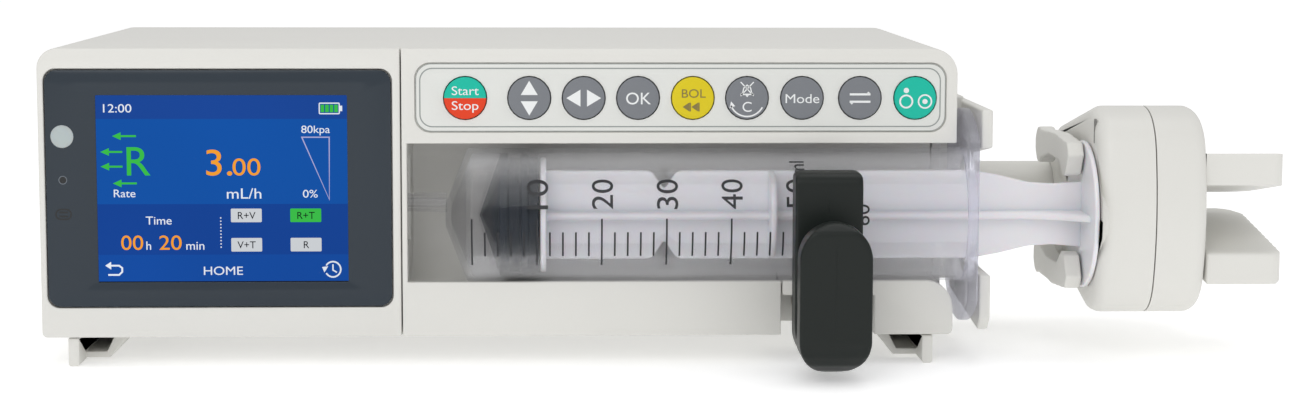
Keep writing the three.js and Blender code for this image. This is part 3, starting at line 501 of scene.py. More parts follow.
# ---- Display ------------------------------------------------------------------------------------
# A 320 x 240 dot colour panel behind the window, showing its home page: the rate in large figures,
# the time left, a pressure scale and the mode buttons. Each tint glows with a faint grid of dots.
DOTS_WIDE, DOTS_HIGH = 320, 240
DOT = LIT_WIDTH / DOTS_WIDE
LAYER = 0.03  # each printed or lit layer stands this far before the one behind it
panel_face = gy0 + 0.22


def glow(name, colour, strength=0.92):
    finish = Finish(name, roughness=0.12, specular_ior_level=0.05)
    across = finish.node("SeparateXYZ", {0: finish.place})
    column = (across * (2 * math.pi / (DOT * MM))).wave()
    cloud = finish.noise(16, 2)
    dim = finish.blend(tinted(colour, 0.9), tinted(colour, 1.08), cloud)
    lit = finish.blend(dim, tinted(colour, 0.88), (column * 0.5 + 0.5) * 0.25)
    finish.feed(finish.shader.inputs["Emission Color"], lit)
    finish.shader.inputs["Emission Strength"].default_value = strength
    return finish.paint(finish.blend((0, 0, 0, 1), tinted(colour, 0.12), cloud), 0.12 + cloud * 0.06)


DISPLAY_TINTS = [
    ("lit_title_blue", srgb(22, 69, 151)),
    ("lit_page_blue", srgb(12, 81, 166)),
    ("lit_band_blue", srgb(15, 66, 149)),
    ("lit_foot_blue", srgb(14, 74, 160)),
    ("lit_white", srgb(232, 238, 246)),
    ("lit_green", srgb(58, 190, 72)),
    ("lit_orange", srgb(246, 160, 46)),
    ("lit_lilac", srgb(178, 176, 216)),
    ("lit_grey", srgb(208, 212, 216)),
    ("lit_black", srgb(10, 14, 22)),
]
TITLE, PAGE, BAND, FOOT, WHITE, GREEN, ORANGE, LILAC, GREY, BLACK = range(len(DISPLAY_TINTS))


def lettering(bm, words, x, z, height, front, material=0, align="LEFT", up=False, width=None):
    """Figures or words as thin solids on a front face, from their baseline's start or middle."""
    curve = bpy.data.curves.new("words", "FONT")
    curve.body = words
    curve.align_x = align
    curve.size = 1.0
    flat = bpy.data.objects.new("words", curve)
    mesh = bpy.data.meshes.new_from_object(flat)
    capital = 0.729  # height of a capital at size 1
    scale = height / capital
    wide = max(v.co.x for v in mesh.vertices) - min(v.co.x for v in mesh.vertices)
    squeeze = scale if width is None else width / wide
    letters = bmesh.new()
    letters.from_mesh(mesh)
    bmesh.ops.remove_doubles(letters, verts=letters.verts, dist=1e-5)
    bmesh.ops.dissolve_limit(
        letters, angle_limit=math.radians(1), verts=letters.verts, edges=letters.edges
    )
    grown_faces = bmesh.ops.extrude_face_region(letters, geom=letters.faces[:])
    lifted = [g for g in grown_faces["geom"] if isinstance(g, bmesh.types.BMVert)]
    bmesh.ops.translate(letters, vec=(0, 0, 1), verts=lifted)
    for v in letters.verts:
        a, b, high = v.co.x * squeeze, v.co.y * scale, v.co.z
        a, b = (-b, a) if up else (a, b)
        v.co = (x + a, front + LAYER * (1 - 2 * high), z + b)
    bmesh.ops.recalc_face_normals(letters, faces=letters.faces)
    for face in letters.faces:
        face.material_index = material
    letters.to_mesh(mesh)
    letters.free()
    bm.from_mesh(mesh)
    bpy.data.objects.remove(flat)
    bpy.data.curves.remove(curve)
    bpy.data.meshes.remove(mesh)


def on_panel(u, v):
    return lit_x + u * DOT, lit_top - v * DOT


def tile(u0, u1, v0, v1, material, layer=1, radius=0.0):
    (a0, b1), (a1, b0) = on_panel(u0, v0), on_panel(u1, v1)
    face = panel_face - LAYER * layer
    plate(bm, rectangle(a0, a1, b0, b1, radius, 3), face, face + LAYER * 1.5, material=material)


def shape(points, material, layer=2):
    face = panel_face - LAYER * layer
    plate(bm, [on_panel(u, v) for u, v in points], face, face + LAYER * 1.5, material=material)


def stroke(bm, points, width, low, high, material=0, closed=False):
    """A line of even width through points, as a thin solid."""
    count = len(points)
    sides = ([], [])
    for i in range(count):
        here = Vector(points[i])
        back = Vector(points[i - 1]) if closed or i else here
        ahead = Vector(points[(i + 1) % count]) if closed or i < count - 1 else here
        run = (here - back).normalized() + (ahead - here).normalized()
        run.normalize()
        step = (here - back) if (here - back).length else (ahead - here)
        lean = max(abs(run.dot(step.normalized())), 0.5)
        side = Vector((-run.y, run.x)) * (width / 2 / lean)
        sides[0].append(tuple(here + side))
        sides[1].append(tuple(here - side))
    if closed:
        band(bm, sides[0], sides[1], low, high, material=material)
    else:
        plate(bm, sides[0] + sides[1][::-1], low, high, material=material)


def line(points, width, material, layer=2, closed=False):
    face = panel_face - LAYER * layer
    run = [on_panel(u, v) for u, v in points]
    stroke(bm, run, width * DOT, face, face + LAYER * 1.5, material, closed)


def caption(words, u, v, height, material, align="LEFT", width=None):
    x, z = on_panel(u, v)
    wide = None if width is None else width * DOT
    lettering(bm, words, x, z, height * DOT, panel_face - 2 * LAYER, material, align, width=wide)


bm = bmesh.new()
x0, z1 = on_panel(0, 0)
x1, z0 = on_panel(DOTS_WIDE, DOTS_HIGH)
plate(bm, rectangle(x0 - 0.5, x1 + 0.5, z0 - 0.5, z1 + 0.5, 0, 1), panel_face, py0 + 0.6, material=BLACK)
for top, bottom, tint in ((0, 31, TITLE), (31, 140, PAGE), (140, 205.5, BAND), (205.5, 240, FOOT)):
    tile(0, DOTS_WIDE, top, bottom, tint)
tile(0, DOTS_WIDE, 30.4, 31.4, PAGE, 2)

caption("12:00", 6, 22, 11.2, WHITE, width=36)
tile(284, 311, 9.5, 24.5, WHITE, 2, 0.3)
tile(311, 314, 13.5, 20.5, WHITE, 2)
tile(285.5, 309.5, 11, 23, TITLE, 2.6)
for k in range(4):
    tile(286.5 + 5.8 * k, 291 + 5.8 * k, 12.2, 21.8, GREEN, 3.2)

ARROWS = ((20.3, 50.8, 52.4), (5, 33, 72.7), (5, 33, 91.6), (20.3, 50.8, 113.2))
for tip, tail, v in ARROWS:
    shape([(tip, v), (tip + 11, v + 5), (tip + 11, v - 5)], GREEN)
    tile(tip + 10, tail, v - 1.3, v + 1.3, GREEN, 2)
caption("R", 34, 103, 39, GREEN, width=30)
caption("Rate", 20, 131, 10.5, WHITE, width=27.5)
caption("3.", 136, 103, 35, ORANGE, width=33)
caption("00", 172, 103, 23, ORANGE, width=35.5)
caption("mL/h", 164, 133, 14, WHITE, width=44)
caption("80kpa", 261, 48.5, 10, WHITE, width=36.5)
caption("0%", 262, 131.8, 10.5, WHITE, width=19)
line([(262, 54), (297, 54), (296.4, 134.5)], 1.5, LILAC, closed=True)

caption("Time", 61, 166.3, 11, WHITE, width=33)
caption("00", 28.5, 199, 19.5, ORANGE, width=28)
caption("h", 60.5, 199, 11.5, WHITE)
caption("20", 77, 199, 19.5, ORANGE, width=28.5)
caption("min", 111.5, 199, 11.5, WHITE, width=23)
BUTTONS = (
    ("R+V", 170, 209.5, 146, GREY),
    ("R+T", 246, 285.7, 146, GREEN),
    ("V+T", 170, 209.5, 184, GREY),
    ("R", 246, 285.7, 184, GREY),
)
for words, u0, u1, v0, tint in BUTTONS:
    tile(u0, u1, v0, v0 + 17.6, tint, 2, 0.25)
    x, z = on_panel((u0 + u1) / 2, v0 + 13.4)
    lettering(bm, words, x, z, 9.6 * DOT, panel_face - 2.7 * LAYER, BLACK, "CENTER")

line([(14, 219.5), (26, 219.5), (30, 222.5), (30, 227.5), (26, 231.5), (12, 231.5)], 2.2, WHITE)
shape([(8.5, 219.5), (16, 214.5), (16, 224.5)], WHITE)
caption("HOME", 133, 231.8, 11.4, WHITE, width=50)
CLOCK = (300, 225)
ring = [
    (CLOCK[0] + 10 * math.cos(a), CLOCK[1] + 10 * math.sin(a))
    for a in [math.radians(-150 + 12.5 * k) for k in range(25)]
]
line(ring, 2, WHITE)
shape([(286, 222), (294, 221), (289, 229)], WHITE)
line([(300, 218.5), (300, 226), (305, 229)], 1.8, WHITE)
display_finishes = [glow(name, colour) for name, colour in DISPLAY_TINTS]
piece("home_page", bm, display_finishes, "housing", "screen", "lcd_panel")


# A dotted rule stands between the time and the mode buttons; it is one dot repeated down a line.
def field(tree, kind, sockets=None, **settings):
    """A node of a geometry tree with its settings, then its sockets' values or links."""
    made = tree.nodes.new(kind)
    for label, value in settings.items():
        setattr(made, label, value)
    for socket, value in (sockets or {}).items():
        if isinstance(value, bpy.types.NodeSocket):
            tree.links.new(value, made.inputs[socket])
        else:
            made.inputs[socket].default_value = value
    return made


SOCKET_KINDS = {
    int: "NodeSocketInt",
    float: "NodeSocketFloat",
    tuple: "NodeSocketVector",
    bpy.types.Material: "NodeSocketMaterial",
}


def grown(name, sizes, build):
    """Runs a geometry tree with named inputs once and hands back its mesh in a bmesh."""
    tree = bpy.data.node_groups.new(name, "GeometryNodeTree")
    tree.interface.new_socket("Geometry", in_out="OUTPUT", socket_type="NodeSocketGeometry")
    labels = {}
    for label, value in sizes.items():
        kind = SOCKET_KINDS[type(value)]
        labels[label] = tree.interface.new_socket(label, in_out="INPUT", socket_type=kind).identifier
    source = tree.nodes.new("NodeGroupInput")
    shown = build(tree, {label: source.outputs[label] for label in sizes})
    real = field(tree, "GeometryNodeRealizeInstances", {0: shown})
    sockets = {0: real.outputs[0], "Material": source.outputs["Material"]}
    dressed = field(tree, "GeometryNodeSetMaterial", sockets)
    field(tree, "NodeGroupOutput", {0: dressed.outputs[0]})
    carrier = bpy.data.objects.new(name, bpy.data.meshes.new(name))
    bpy.context.collection.objects.link(carrier)
    growth = carrier.modifiers.new("growth", "NODES")
    growth.node_group = tree
    for label, value in sizes.items():
        growth[labels[label]] = value
    graph = bpy.context.evaluated_depsgraph_get()
    mesh = bpy.data.meshes.new_from_object(carrier.evaluated_get(graph), depsgraph=graph)
    made = bmesh.new()
    made.from_mesh(mesh)
    bmesh.ops.remove_doubles(made, verts=made.verts, dist=1e-4)
    bpy.data.objects.remove(carrier)
    bpy.data.meshes.remove(mesh)
    bpy.data.node_groups.remove(tree)
    return made


def row_of(tree, size, shape):
    """A shape repeated along a line."""
    line_sockets = {"Count": size["Count"], "Start Location": size["Start"], "Offset": size["Pitch"]}
    run = field(tree, "GeometryNodeMeshLine", line_sockets)
    sockets = {"Points": run.outputs[0], "Instance": shape.outputs[0]}
    return field(tree, "GeometryNodeInstanceOnPoints", sockets).outputs[0]


def repeated_bar(tree, size):
    """A small bar repeated along a line."""
    return row_of(tree, size, field(tree, "GeometryNodeMeshCube", {"Size": size["Size"]}))


x, z = on_panel(157, 158)
white_glow = display_finishes[WHITE]
dots = grown(
    "dotted_rule",
    {
        "Size": (1.6 * DOT, LAYER * 2, 1.6 * DOT),
        "Count": 10,
        "Start": (x, panel_face - 1.5 * LAYER, z),
        "Pitch": (0.0, 0.0, -4.2 * DOT),
        "Material": white_glow,
    },
    repeated_bar,
)
piece("dotted_rule", dots, white_glow, "housing", "screen")


# ---- Keys ---------------------------------------------------------------------------------------
# A printed film lies in the strip above the syringe, with two grey lines of painted shade round its
# edge where it meets its recess. Nine domed keys come through it; each is a moulded cap with its sign
# printed on it.
RECESS_SHADE_GREY = moulded("recess_edge_painted_shade", srgb(140, 146, 143), 0.45)
film = moulded("key_film", srgb(216, 217, 213), 0.34, drift=0.015, grain=1800, coat_weight=0.15)
kx0, kx1, ky0, ky1, kz0, kz1 = span("key_label")
piece("key_film", eased(copied("key_label"), 0.06, 2), film, "housing", "label_film", "key_label")
bm = bmesh.new()
# The two grey lines round the film's edge are painted shade along the edge of its recess.
outer = rectangle(kx0 + 0.85, kx1 - 1.1, kz0 + 0.95, kz1 - 0.95, 3.0, 8)
band(bm, outer, drawn_in(outer, 0.28), ky0 - 0.02, ky0 + 0.1)
edge_shade_line = rectangle(kx0 + 0.02, kx1 - 0.02, kz0 + 0.02, kz1 - 0.02, 3.55, 8)
band(bm, edge_shade_line, drawn_in(edge_shade_line, 0.14), ky0 - 0.015, ky0 + 0.1)
piece("key_film_painted_shade_lines", bm, RECESS_SHADE_GREY, "housing", "label_film")

KEY_ROUND = 0.35
PRINT_LIFT = 0.02
WHITE_INK = moulded("white_ink", srgb(228, 230, 230), 0.4)
BROWN_INK = moulded("brown_ink", srgb(126, 112, 52), 0.4)
KEY_COLOURS = {
    "grey": srgb(120, 123, 128),
    "teal": srgb(18, 182, 158),
    "red": srgb(220, 62, 26),
    "yellow": srgb(214, 194, 24),
}
KEY_TINTS = {
    tint: moulded("key_cap_" + tint, colour, 0.4, drift=0.04, specular_ior_level=0.25)
    for tint, colour in KEY_COLOURS.items()
}


def sign_start_stop(put_words, put_shape, put_line):
    put_words("Start", 0, 0.72, 2.1, 6.2)
    put_words("Stop", 0, -2.68, 2.1, 6.1)


def sign_up_down(put_words, put_shape, put_line):
    for way in (1, -1):
        put_shape([(0, 4.0 * way), (-1.95, 0.72 * way), (1.95, 0.72 * way)])


def sign_left_right(put_words, put_shape, put_line):
    for way in (1, -1):
        put_shape([(4.0 * way, 0), (0.75 * way, 1.95), (0.75 * way, -1.95)])


def sign_ok(put_words, put_shape, put_line):
    put_words("OK", 0, -1.42, 2.85, 5.7)


def sign_bolus(put_words, put_shape, put_line):
    put_words("BOL", 0.1, 0.1, 2.05, 5.5)
    for tip in (-2.35, -0.35):
        put_shape([(tip, -2.05), (tip + 1.5, -1.05), (tip + 1.5, -3.05)])
        put_shape([(tip + 1.55, -1.05), (tip + 1.9, -1.05), (tip + 1.9, -3.05), (tip + 1.55, -3.05)])


def sign_mute_clear(put_words, put_shape, put_line):
    bell_left = [(-1.45, 0.85), (-1.0, 1.25), (-0.8, 2.3)]
    put_line(bell_left + [(0, 3.0)] + [(-a, b) for a, b in bell_left[::-1]], 0.26)
    put_line([(-1.6, 0.85), (1.6, 0.85)], 0.32)
    put_line([(-1.5, 3.7), (1.5, 0.5)], 0.26)
    put_line([(1.5, 3.7), (-1.5, 0.5)], 0.26)
    put_shape([(-0.4, 0.65), (0, 0.2), (0.4, 0.65)])
    put_words("C", 0, -3.15, 2.4, 2.1)
    arc = [math.radians(a) for a in range(-158, -18, 10)]
    put_line([(4.0 * math.cos(a), 4.0 * math.sin(a) - 0.25) for a in arc], 0.34)
    put_shape([(-3.7, -0.75), (-4.05, -2.35), (-2.75, -1.85)])


def sign_mode(put_words, put_shape, put_line):
    put_words("Mode", 0, -1.15, 2.2, 7.8)


def sign_swap(put_words, put_shape, put_line):
    for way in (1, -1):
        put_line([(-2.4 * way, 0.85 * way), (2.4 * way, 0.85 * way)], 0.5)
        put_shape([(1.5 * way, 1.05 * way), (1.9 * way, 1.5 * way), (2.4 * way, 1.05 * way)])


def sign_power(put_words, put_shape, put_line):
    put_shape(circle(-2.1, 1.75, 0.62, 24))
    put_line(circle(-2.1, -0.8, 1.42, 40), 0.4, True)
    put_line(circle(2.25, -0.8, 1.5, 40), 0.36, True)
    put_shape(circle(2.25, -0.8, 0.6, 24))


KEYS = (
    ("start_stop_key", "teal", "red", sign_start_stop, WHITE_INK, "key_teal"),
    ("up_down_key", "grey", None, sign_up_down, WHITE_INK, "key_grey"),
    ("left_right_key", "grey", None, sign_left_right, WHITE_INK, "key_grey"),
    ("ok_key", "grey", None, sign_ok, WHITE_INK, "key_grey"),
    ("bolus_key", "yellow", None, sign_bolus, BROWN_INK, "key_yellow"),
    ("mute_clear_key", "grey", None, sign_mute_clear, WHITE_INK, "key_grey"),
    ("mode_key", "grey", None, sign_mode, WHITE_INK, "key_grey"),
    ("swap_key", "grey", None, sign_swap, WHITE_INK, "key_grey"),
    ("power_key", "teal", None, sign_power, WHITE_INK, "key_teal"),
)
COLLAR = (3.5, 4.8, 5.7)  # the retaining collar behind the film: front, back, radius
CAP_RADIUS = 4.84
TINT_LIFT = 0.012  # the lower half's second colour lies this far on the cap
HALF_TURN = [math.radians(180 + 180 * k / 32) for k in range(33)]
for node, tint, lower_tint, sign, ink, slot in KEYS:
    kx0, kx1, ky0, ky1, kz0, kz1 = span(node)
    key_x, key_z = (kx0 + kx1) / 2, (kz0 + kz1) / 2
    profile = rounded(
        [
            (ky0, 0),
            (ky0, CAP_RADIUS),
            (COLLAR[0], CAP_RADIUS),
            (COLLAR[0], COLLAR[2]),
            (COLLAR[1], COLLAR[2]),
            (COLLAR[1], 0),
        ],
        [0, KEY_ROUND, 0, 0.1, 0.1, 0],
        5,
        closed=False,
    )
    bm = bmesh.new()
    lathe(bm, profile, key_x, key_z, axis="y", sides=72)
    if lower_tint:
        cap, wide = CAP_RADIUS - KEY_ROUND * 0.8, CAP_RADIUS + TINT_LIFT
        lower, side = (
            [(key_x + r * math.cos(a), key_z + r * math.sin(a)) for a in HALF_TURN]
            for r in (cap, wide)
        )
        plate(bm, lower, ky0 - TINT_LIFT, ky0 + 0.1, material=2)
        plate(bm, side, ky0 + KEY_ROUND, ky0 + 1.5, material=2)
        shoulder = (
            (ky0 - 0.01, cap),
            (ky0 + 0.04, CAP_RADIUS - 0.12),
            (ky0 + 0.16, CAP_RADIUS - 0.01),
            (ky0 + KEY_ROUND, wide),
        )
        slope = [
            [(key_x + r * math.cos(a), y, key_z + r * math.sin(a)) for a in HALF_TURN]
            for y, r in shoulder
        ]
        skin(bm, slope, material=2)
    ink_face = ky0 - PRINT_LIFT

    def put_words(words, a, b, height, width):
        lettering(bm, words, key_x + a, key_z + b, height, ink_face, 1, "CENTER", width=width)

    def put_shape(points):
        plate(bm, [(key_x + a, key_z + b) for a, b in points], ink_face - LAYER, ink_face + LAYER, material=1)

    def put_line(points, width, closed=False):
        run = [(key_x + a, key_z + b) for a, b in points]
        stroke(bm, run, width, ink_face - LAYER, ink_face + LAYER, 1, closed)

    sign(put_words, put_shape, put_line)
    piece(node + "_cap", bm, [KEY_TINTS[tint], ink, KEY_TINTS[lower_tint or tint]], node, slot, node)


# ---- Syringe barrel -----------------------------------------------------------------------------
# A disposable 50 ml barrel in clear polypropylene, faintly milky, with an offset nozzle and a finger
# flange with two flat sides. It lies in the trough; lamps shine straight through its thin wall.
bx0, bx1, by0, by1, bz0, bz1 = span("syringe_barrel")
AXIS_Y, AXIS_Z = (by0 + by1) / 2, (bz0 + bz1) / 2
BARREL = 15.6
BORE = 14.5
SHOULDER_X = 97.6
CONE_X = 92.5
FLANGE_X = 212.7
FLANGE_HALF_WIDTH = 17.0
FLANGE_RADIUS = (bz1 - bz0) / 2
NOZZLE_RISE = 3.0


def clear(name, tint, milk=0.02, rough=0.03, thin=0.8, cloud=1.6):
    """Clear plastic: thin glass to the eye, an open pane to lamps, with streaks in its gloss.

    Milk is the glass's own haze, thin the share that looks straight through, cloud the share of a
    whitish layer towards the top and bottom of the barrel: partly haze, partly painted sheen.
    """
    finish = Finish(name, transmission_weight=1 - milk, ior=1.46, specular_ior_level=0.3)
    streak = finish.noise(60, 4, finish.stretched((0.15, 1, 1)))
    finish.bump(streak, 0.00003, 0.2)
    finish.paint(finish.blend(tinted(tint, 0.98), tinted(tint, 1.02), streak), rough + streak * 0.05)
    path = finish.node("LightPath", out="Is Shadow Ray")
    bounced = finish.node("LightPath", out="Is Diffuse Ray")
    open_pane = finish.node("BsdfTransparent", {"Color": tinted(tint, 0.97)})
    # A whitish diffuse layer is mixed in towards the wall's top and bottom: partly the plastic's haze,
    # partly painted sheen standing in for the lamps' reflection where the wall is seen edge-on.
    height = finish.node("SeparateXYZ", {0: finish.place}, out="Z") * (1 / (BARREL * MM))
    rim = finish.node("Math", {0: height - AXIS_Z / BARREL}, operation="ABSOLUTE") ** 3
    haze_and_painted_sheen = finish.node("BsdfDiffuse", {"Color": tinted(tint, 0.97)})
    factor = finish.node("Math", {0: rim, 1: cloud}, operation="MULTIPLY")
    glassy = Wire(finish, finish.shader.outputs[0])
    solid_pane = finish.node("MixShader", {0: factor, 1: glassy, 2: haze_and_painted_sheen})
    either = finish.node("Math", {0: path, 1: bounced}, operation="MAXIMUM")
    either = finish.node("Math", {0: either, 1: thin}, operation="MAXIMUM")
    mixed = finish.node("MixShader", {0: either, 1: solid_pane, 2: open_pane})
    finish.feed(finish.tree.nodes["Material Output"].inputs["Surface"], mixed)
    return finish.material


clear_plastic = clear("clear_polypropylene", srgb(254, 254, 255))
cloudy_plastic = clear(
    "cloudy_polypropylene", srgb(242, 242, 248), milk=0.25, rough=0.1, thin=0.5, cloud=0
)
barrel_profile = rounded(
    [
        (CONE_X, 0),
        (CONE_X, 2.8),
        (SHOULDER_X, BARREL),
        (bx1, BARREL),
        (bx1, BORE),
        (SHOULDER_X + 1.2, BORE),
        (CONE_X + 1.3, 2.0),
        (CONE_X + 1.3, 0),
    ],
    [0, 0.5, 0.8, 0.3, 0.3, 0.8, 0.4, 0],
    5,
    closed=False,
)
bm = bmesh.new()
lathe(bm, barrel_profile, AXIS_Y, AXIS_Z, sides=128)
NOZZLE = ((bx0, 1.1), (bx0, 1.9), (bx0 + 0.4, 2.1), (CONE_X + 0.3, 2.35), (CONE_X + 0.3, 1.1))
lathe(bm, NOZZLE, AXIS_Y, AXIS_Z + NOZZLE_RISE, sides=48, loop=True)
RING_SIDES = 160
ring_turns = [2 * math.pi * k / RING_SIDES for k in range(RING_SIDES)]
flange_rim = []
for t in ring_turns:
    reach = min(FLANGE_RADIUS, FLANGE_HALF_WIDTH / max(abs(math.cos(t)), 1e-6))
    flange_rim.append((AXIS_Y + reach * math.cos(t), AXIS_Z + reach * math.sin(t)))
band(bm, flange_rim, circle(AXIS_Y, AXIS_Z, BARREL + 0.04, RING_SIDES), FLANGE_X, bx1, 0.5, "x", 1, steps=4)
plastics = [clear_plastic, cloudy_plastic]
piece("syringe_barrel_clear", bm, plastics, "housing", "clear_plastic", "syringe_barrel")

# The scale is printed in black round the lower front: long marks at each 10 ml, short ones at 2 ml.
SCALE_START = 99.0
TEN = 14.86
PRINT_RADIUS = BARREL + 0.03
LONG_MARK = (-41.0, 3.0)
SHORT_MARK = (-31.0, -8.5)
MARK_WIDTH = 0.42
scale_ink = moulded("scale_ink", srgb(26, 27, 32), 0.4)


def bent_marks(tree, size):
    """Upright bars repeated along X and bent round a cylinder."""
    bar = field(
        tree,
        "GeometryNodeMeshCube",
        {"Size": size["Bar"], "Vertices X": 2, "Vertices Y": 2, "Vertices Z": 14},
    )

    def sum_of(operation, a, b=0.0):
        return field(tree, "ShaderNodeMath", {0: a, 1: b}, operation=operation).outputs[0]

    here = field(tree, "GeometryNodeInputPosition")
    apart = field(tree, "ShaderNodeSeparateXYZ", {0: here.outputs[0]})
    angle = sum_of("ADD", sum_of("DIVIDE", apart.outputs["Z"], size["Radius"]), size["Middle angle"])
    reach = sum_of("SUBTRACT", size["Radius"], apart.outputs["Y"])
    forward = sum_of("MULTIPLY", sum_of("MULTIPLY", reach, sum_of("COSINE", angle)), -1.0)
    upward = sum_of("MULTIPLY", reach, sum_of("SINE", angle))
    bent = field(
        tree, "ShaderNodeCombineXYZ", {"X": apart.outputs["X"], "Y": forward, "Z": upward}
    )
    curved = field(
        tree, "GeometryNodeSetPosition", {"Geometry": bar.outputs[0], "Position": bent.outputs[0]}
    )
    return row_of(tree, size, curved)


def scale_marks(name, first, pitch, count, angles):
    low, high = (math.radians(a) for a in angles)
    sizes = {
        "Bar": (MARK_WIDTH, 0.05, (high - low) * PRINT_RADIUS),
        "Radius": PRINT_RADIUS,
        "Middle angle": (low + high) / 2,
        "Count": count,
        "Start": (first, AXIS_Y, AXIS_Z),
        "Pitch": (pitch, 0.0, 0.0),
        "Material": scale_ink,
    }
    return grown(name, sizes, bent_marks)


bm = scale_marks("ten_ml_marks", SCALE_START, TEN, 7, LONG_MARK)
for ten in range(6):
    short = scale_marks("two_ml_marks", SCALE_START + TEN * (ten + 0.2), TEN / 5, 4, SHORT_MARK)
    keep = bpy.data.meshes.new("marks")
    short.to_mesh(keep)
    short.free()
    bm.from_mesh(keep)
    bpy.data.meshes.remove(keep)


def wrapped(words, baseline, start, length, height):
    """Figures that read upwards, wrapped round the barrel from an arc length above its front."""
    flat = bmesh.new()
    lettering(flat, words, baseline, 0, height, 0, up=True, width=length)
    low = min(v.co.z for v in flat.verts)
    cuts = int(length / 0.45)
    for k in range(1, cuts):
        geometry = flat.verts[:] + flat.edges[:] + flat.faces[:]
        bmesh.ops.bisect_plane(
            flat, geom=geometry, plane_co=(0, 0, low + length * k / cuts), plane_no=(0, 0, 1)
        )
    bmesh.ops.triangulate(flat, faces=flat.faces[:])
    for v in flat.verts:
        angle = (start + v.co.z - low) / PRINT_RADIUS
        reach = PRINT_RADIUS - v.co.y * 0.8
        v.co = (v.co.x, AXIS_Y - reach * math.cos(angle), AXIS_Z + reach * math.sin(angle))
    bmesh.ops.recalc_face_normals(flat, faces=flat.faces)
    carried = bpy.data.meshes.new("figures")
    flat.to_mesh(carried)
    flat.free()
    bm.from_mesh(carried)
    bpy.data.meshes.remove(carried)


for ten in range(1, 6):
    wrapped(str(ten * 10), SCALE_START + TEN * ten + 2.55, 3.0, 7.2, 5.1)
wrapped("60", 190.1, -0.8, 4.8, 3.4)
wrapped("ml", SCALE_START + TEN * 5 + 2.2, 11.4, 4.4, 3.6)
piece("syringe_scale", bm, scale_ink, "housing", "clear_plastic")


# ---- Plunger ------------------------------------------------------------------------------------
# A navy rubber stopper with two sealing ribs sits on a cross-shaped rod moulded in milky plastic,
# which ends in a thumb disc held by the pusher head. Both move with the head.
tx0, tx1, ty0, ty1, tz0, tz1 = span("plunger_stopper")
RIB = (tz1 - tz0) / 2
TIP_SHOULDER = tx0 + 4.9
stopper_profile = rounded(
    [
        (tx0, 0),
        (TIP_SHOULDER, RIB),
        (TIP_SHOULDER + 1.8, RIB),
        (TIP_SHOULDER + 2.2, RIB - 0.9),
        (TIP_SHOULDER + 4.6, RIB - 0.9),
        (TIP_SHOULDER + 5.0, RIB),
        (TIP_SHOULDER + 6.4, RIB),
        (TIP_SHOULDER + 6.8, RIB - 0.7),
        (tx1, RIB - 0.7),
        (tx1, 0),
    ],
    [0, 0.5, 0.4, 0.3, 0.3, 0.4, 0.4, 0.3, 0.4, 0],
    4,
    closed=False,
)
bm = bmesh.new()
lathe(bm, stopper_profile, AXIS_Y, AXIS_Z, sides=120)
navy_rubber = moulded(
    "navy_rubber", srgb(15, 26, 37), 0.5, drift=0.12, grain=900, depth=0.00002, specular_ior_level=0.2
)
piece("stopper_rubber", bm, navy_rubber, "pusher", "rubber", "plunger_stopper")

rx0, rx1, ry0, ry1, rz0, rz1 = span("plunger_rod")
RIB_HALF = 10.4
WAIST = 7.2
WEB = 0.9
NOTCH_X = 143.6
SUPPORT_X = 168.0
THUMB_X = rx1 - 1.2
UPRIGHT = [
    (rx0, RIB_HALF),
    (NOTCH_X - 3.0, RIB_HALF),
    (NOTCH_X, RIB_HALF - 4.4),
    (NOTCH_X + 3.0, RIB_HALF),
    (216.0, RIB_HALF),
    (222.5, RIB_HALF - 1.2),
    (229.5, WAIST + 0.3),
    (235.0, WAIST),
    (THUMB_X + 0.4, WAIST + 0.6),
]
UPRIGHT_ROUND = [0.4, 2.6, 0.5, 2.6, 6, 9, 9, 5, 0]
LEVEL = [(rx0, 4.4), (230.0, 4.4), (236.0, 7.2), (THUMB_X + 0.4, 12.8)]
LEVEL_ROUND = [0.4, 6, 5, 0]


def both_sides(half, radii, middle):
    outline = [(x, r) for x, r in half] + [(x, -r) for x, r in half[::-1]]
    return [(x, middle + r) for x, r in rounded(outline, radii + radii[::-1], 5)]


bm = bmesh.new()
upright = both_sides(UPRIGHT, UPRIGHT_ROUND, AXIS_Z)
plate(bm, upright, AXIS_Y - WEB, AXIS_Y + WEB, 0.35, "y")
level = both_sides(LEVEL, LEVEL_ROUND, AXIS_Y)
plate(bm, level, AXIS_Z - WEB, AXIS_Z + WEB, 0.85, "z")
DISC = [(rx0, 0), (rx0, 13.4), (rx0 + 1.4, 13.4), (rx0 + 1.4, 0)]
SUPPORT = [(SUPPORT_X, 0), (SUPPORT_X, RIB_HALF), (SUPPORT_X + 1.4, RIB_HALF), (SUPPORT_X + 1.4, 0)]
THUMB = [(THUMB_X, 0), (THUMB_X, (rz1 - rz0) / 2), (rx1, (rz1 - rz0) / 2), (rx1, 0)]
for ends in (DISC, SUPPORT, THUMB):
    lathe(bm, rounded(ends, [0, 0.45, 0.45, 0], 4, closed=False), AXIS_Y, AXIS_Z, sides=120)
milky_plastic = moulded(
    "milky_polypropylene",
    srgb(227, 226, 230),
    0.3,
    drift=0.02,
    grain=700,
    depth=0.00001,
    subsurface_weight=0.25,
    subsurface_scale=0.002,
    coat_weight=0.25,
)
piece("plunger_rod_milky", bm, milky_plastic, "pusher", "milky_plastic", "plunger_rod")


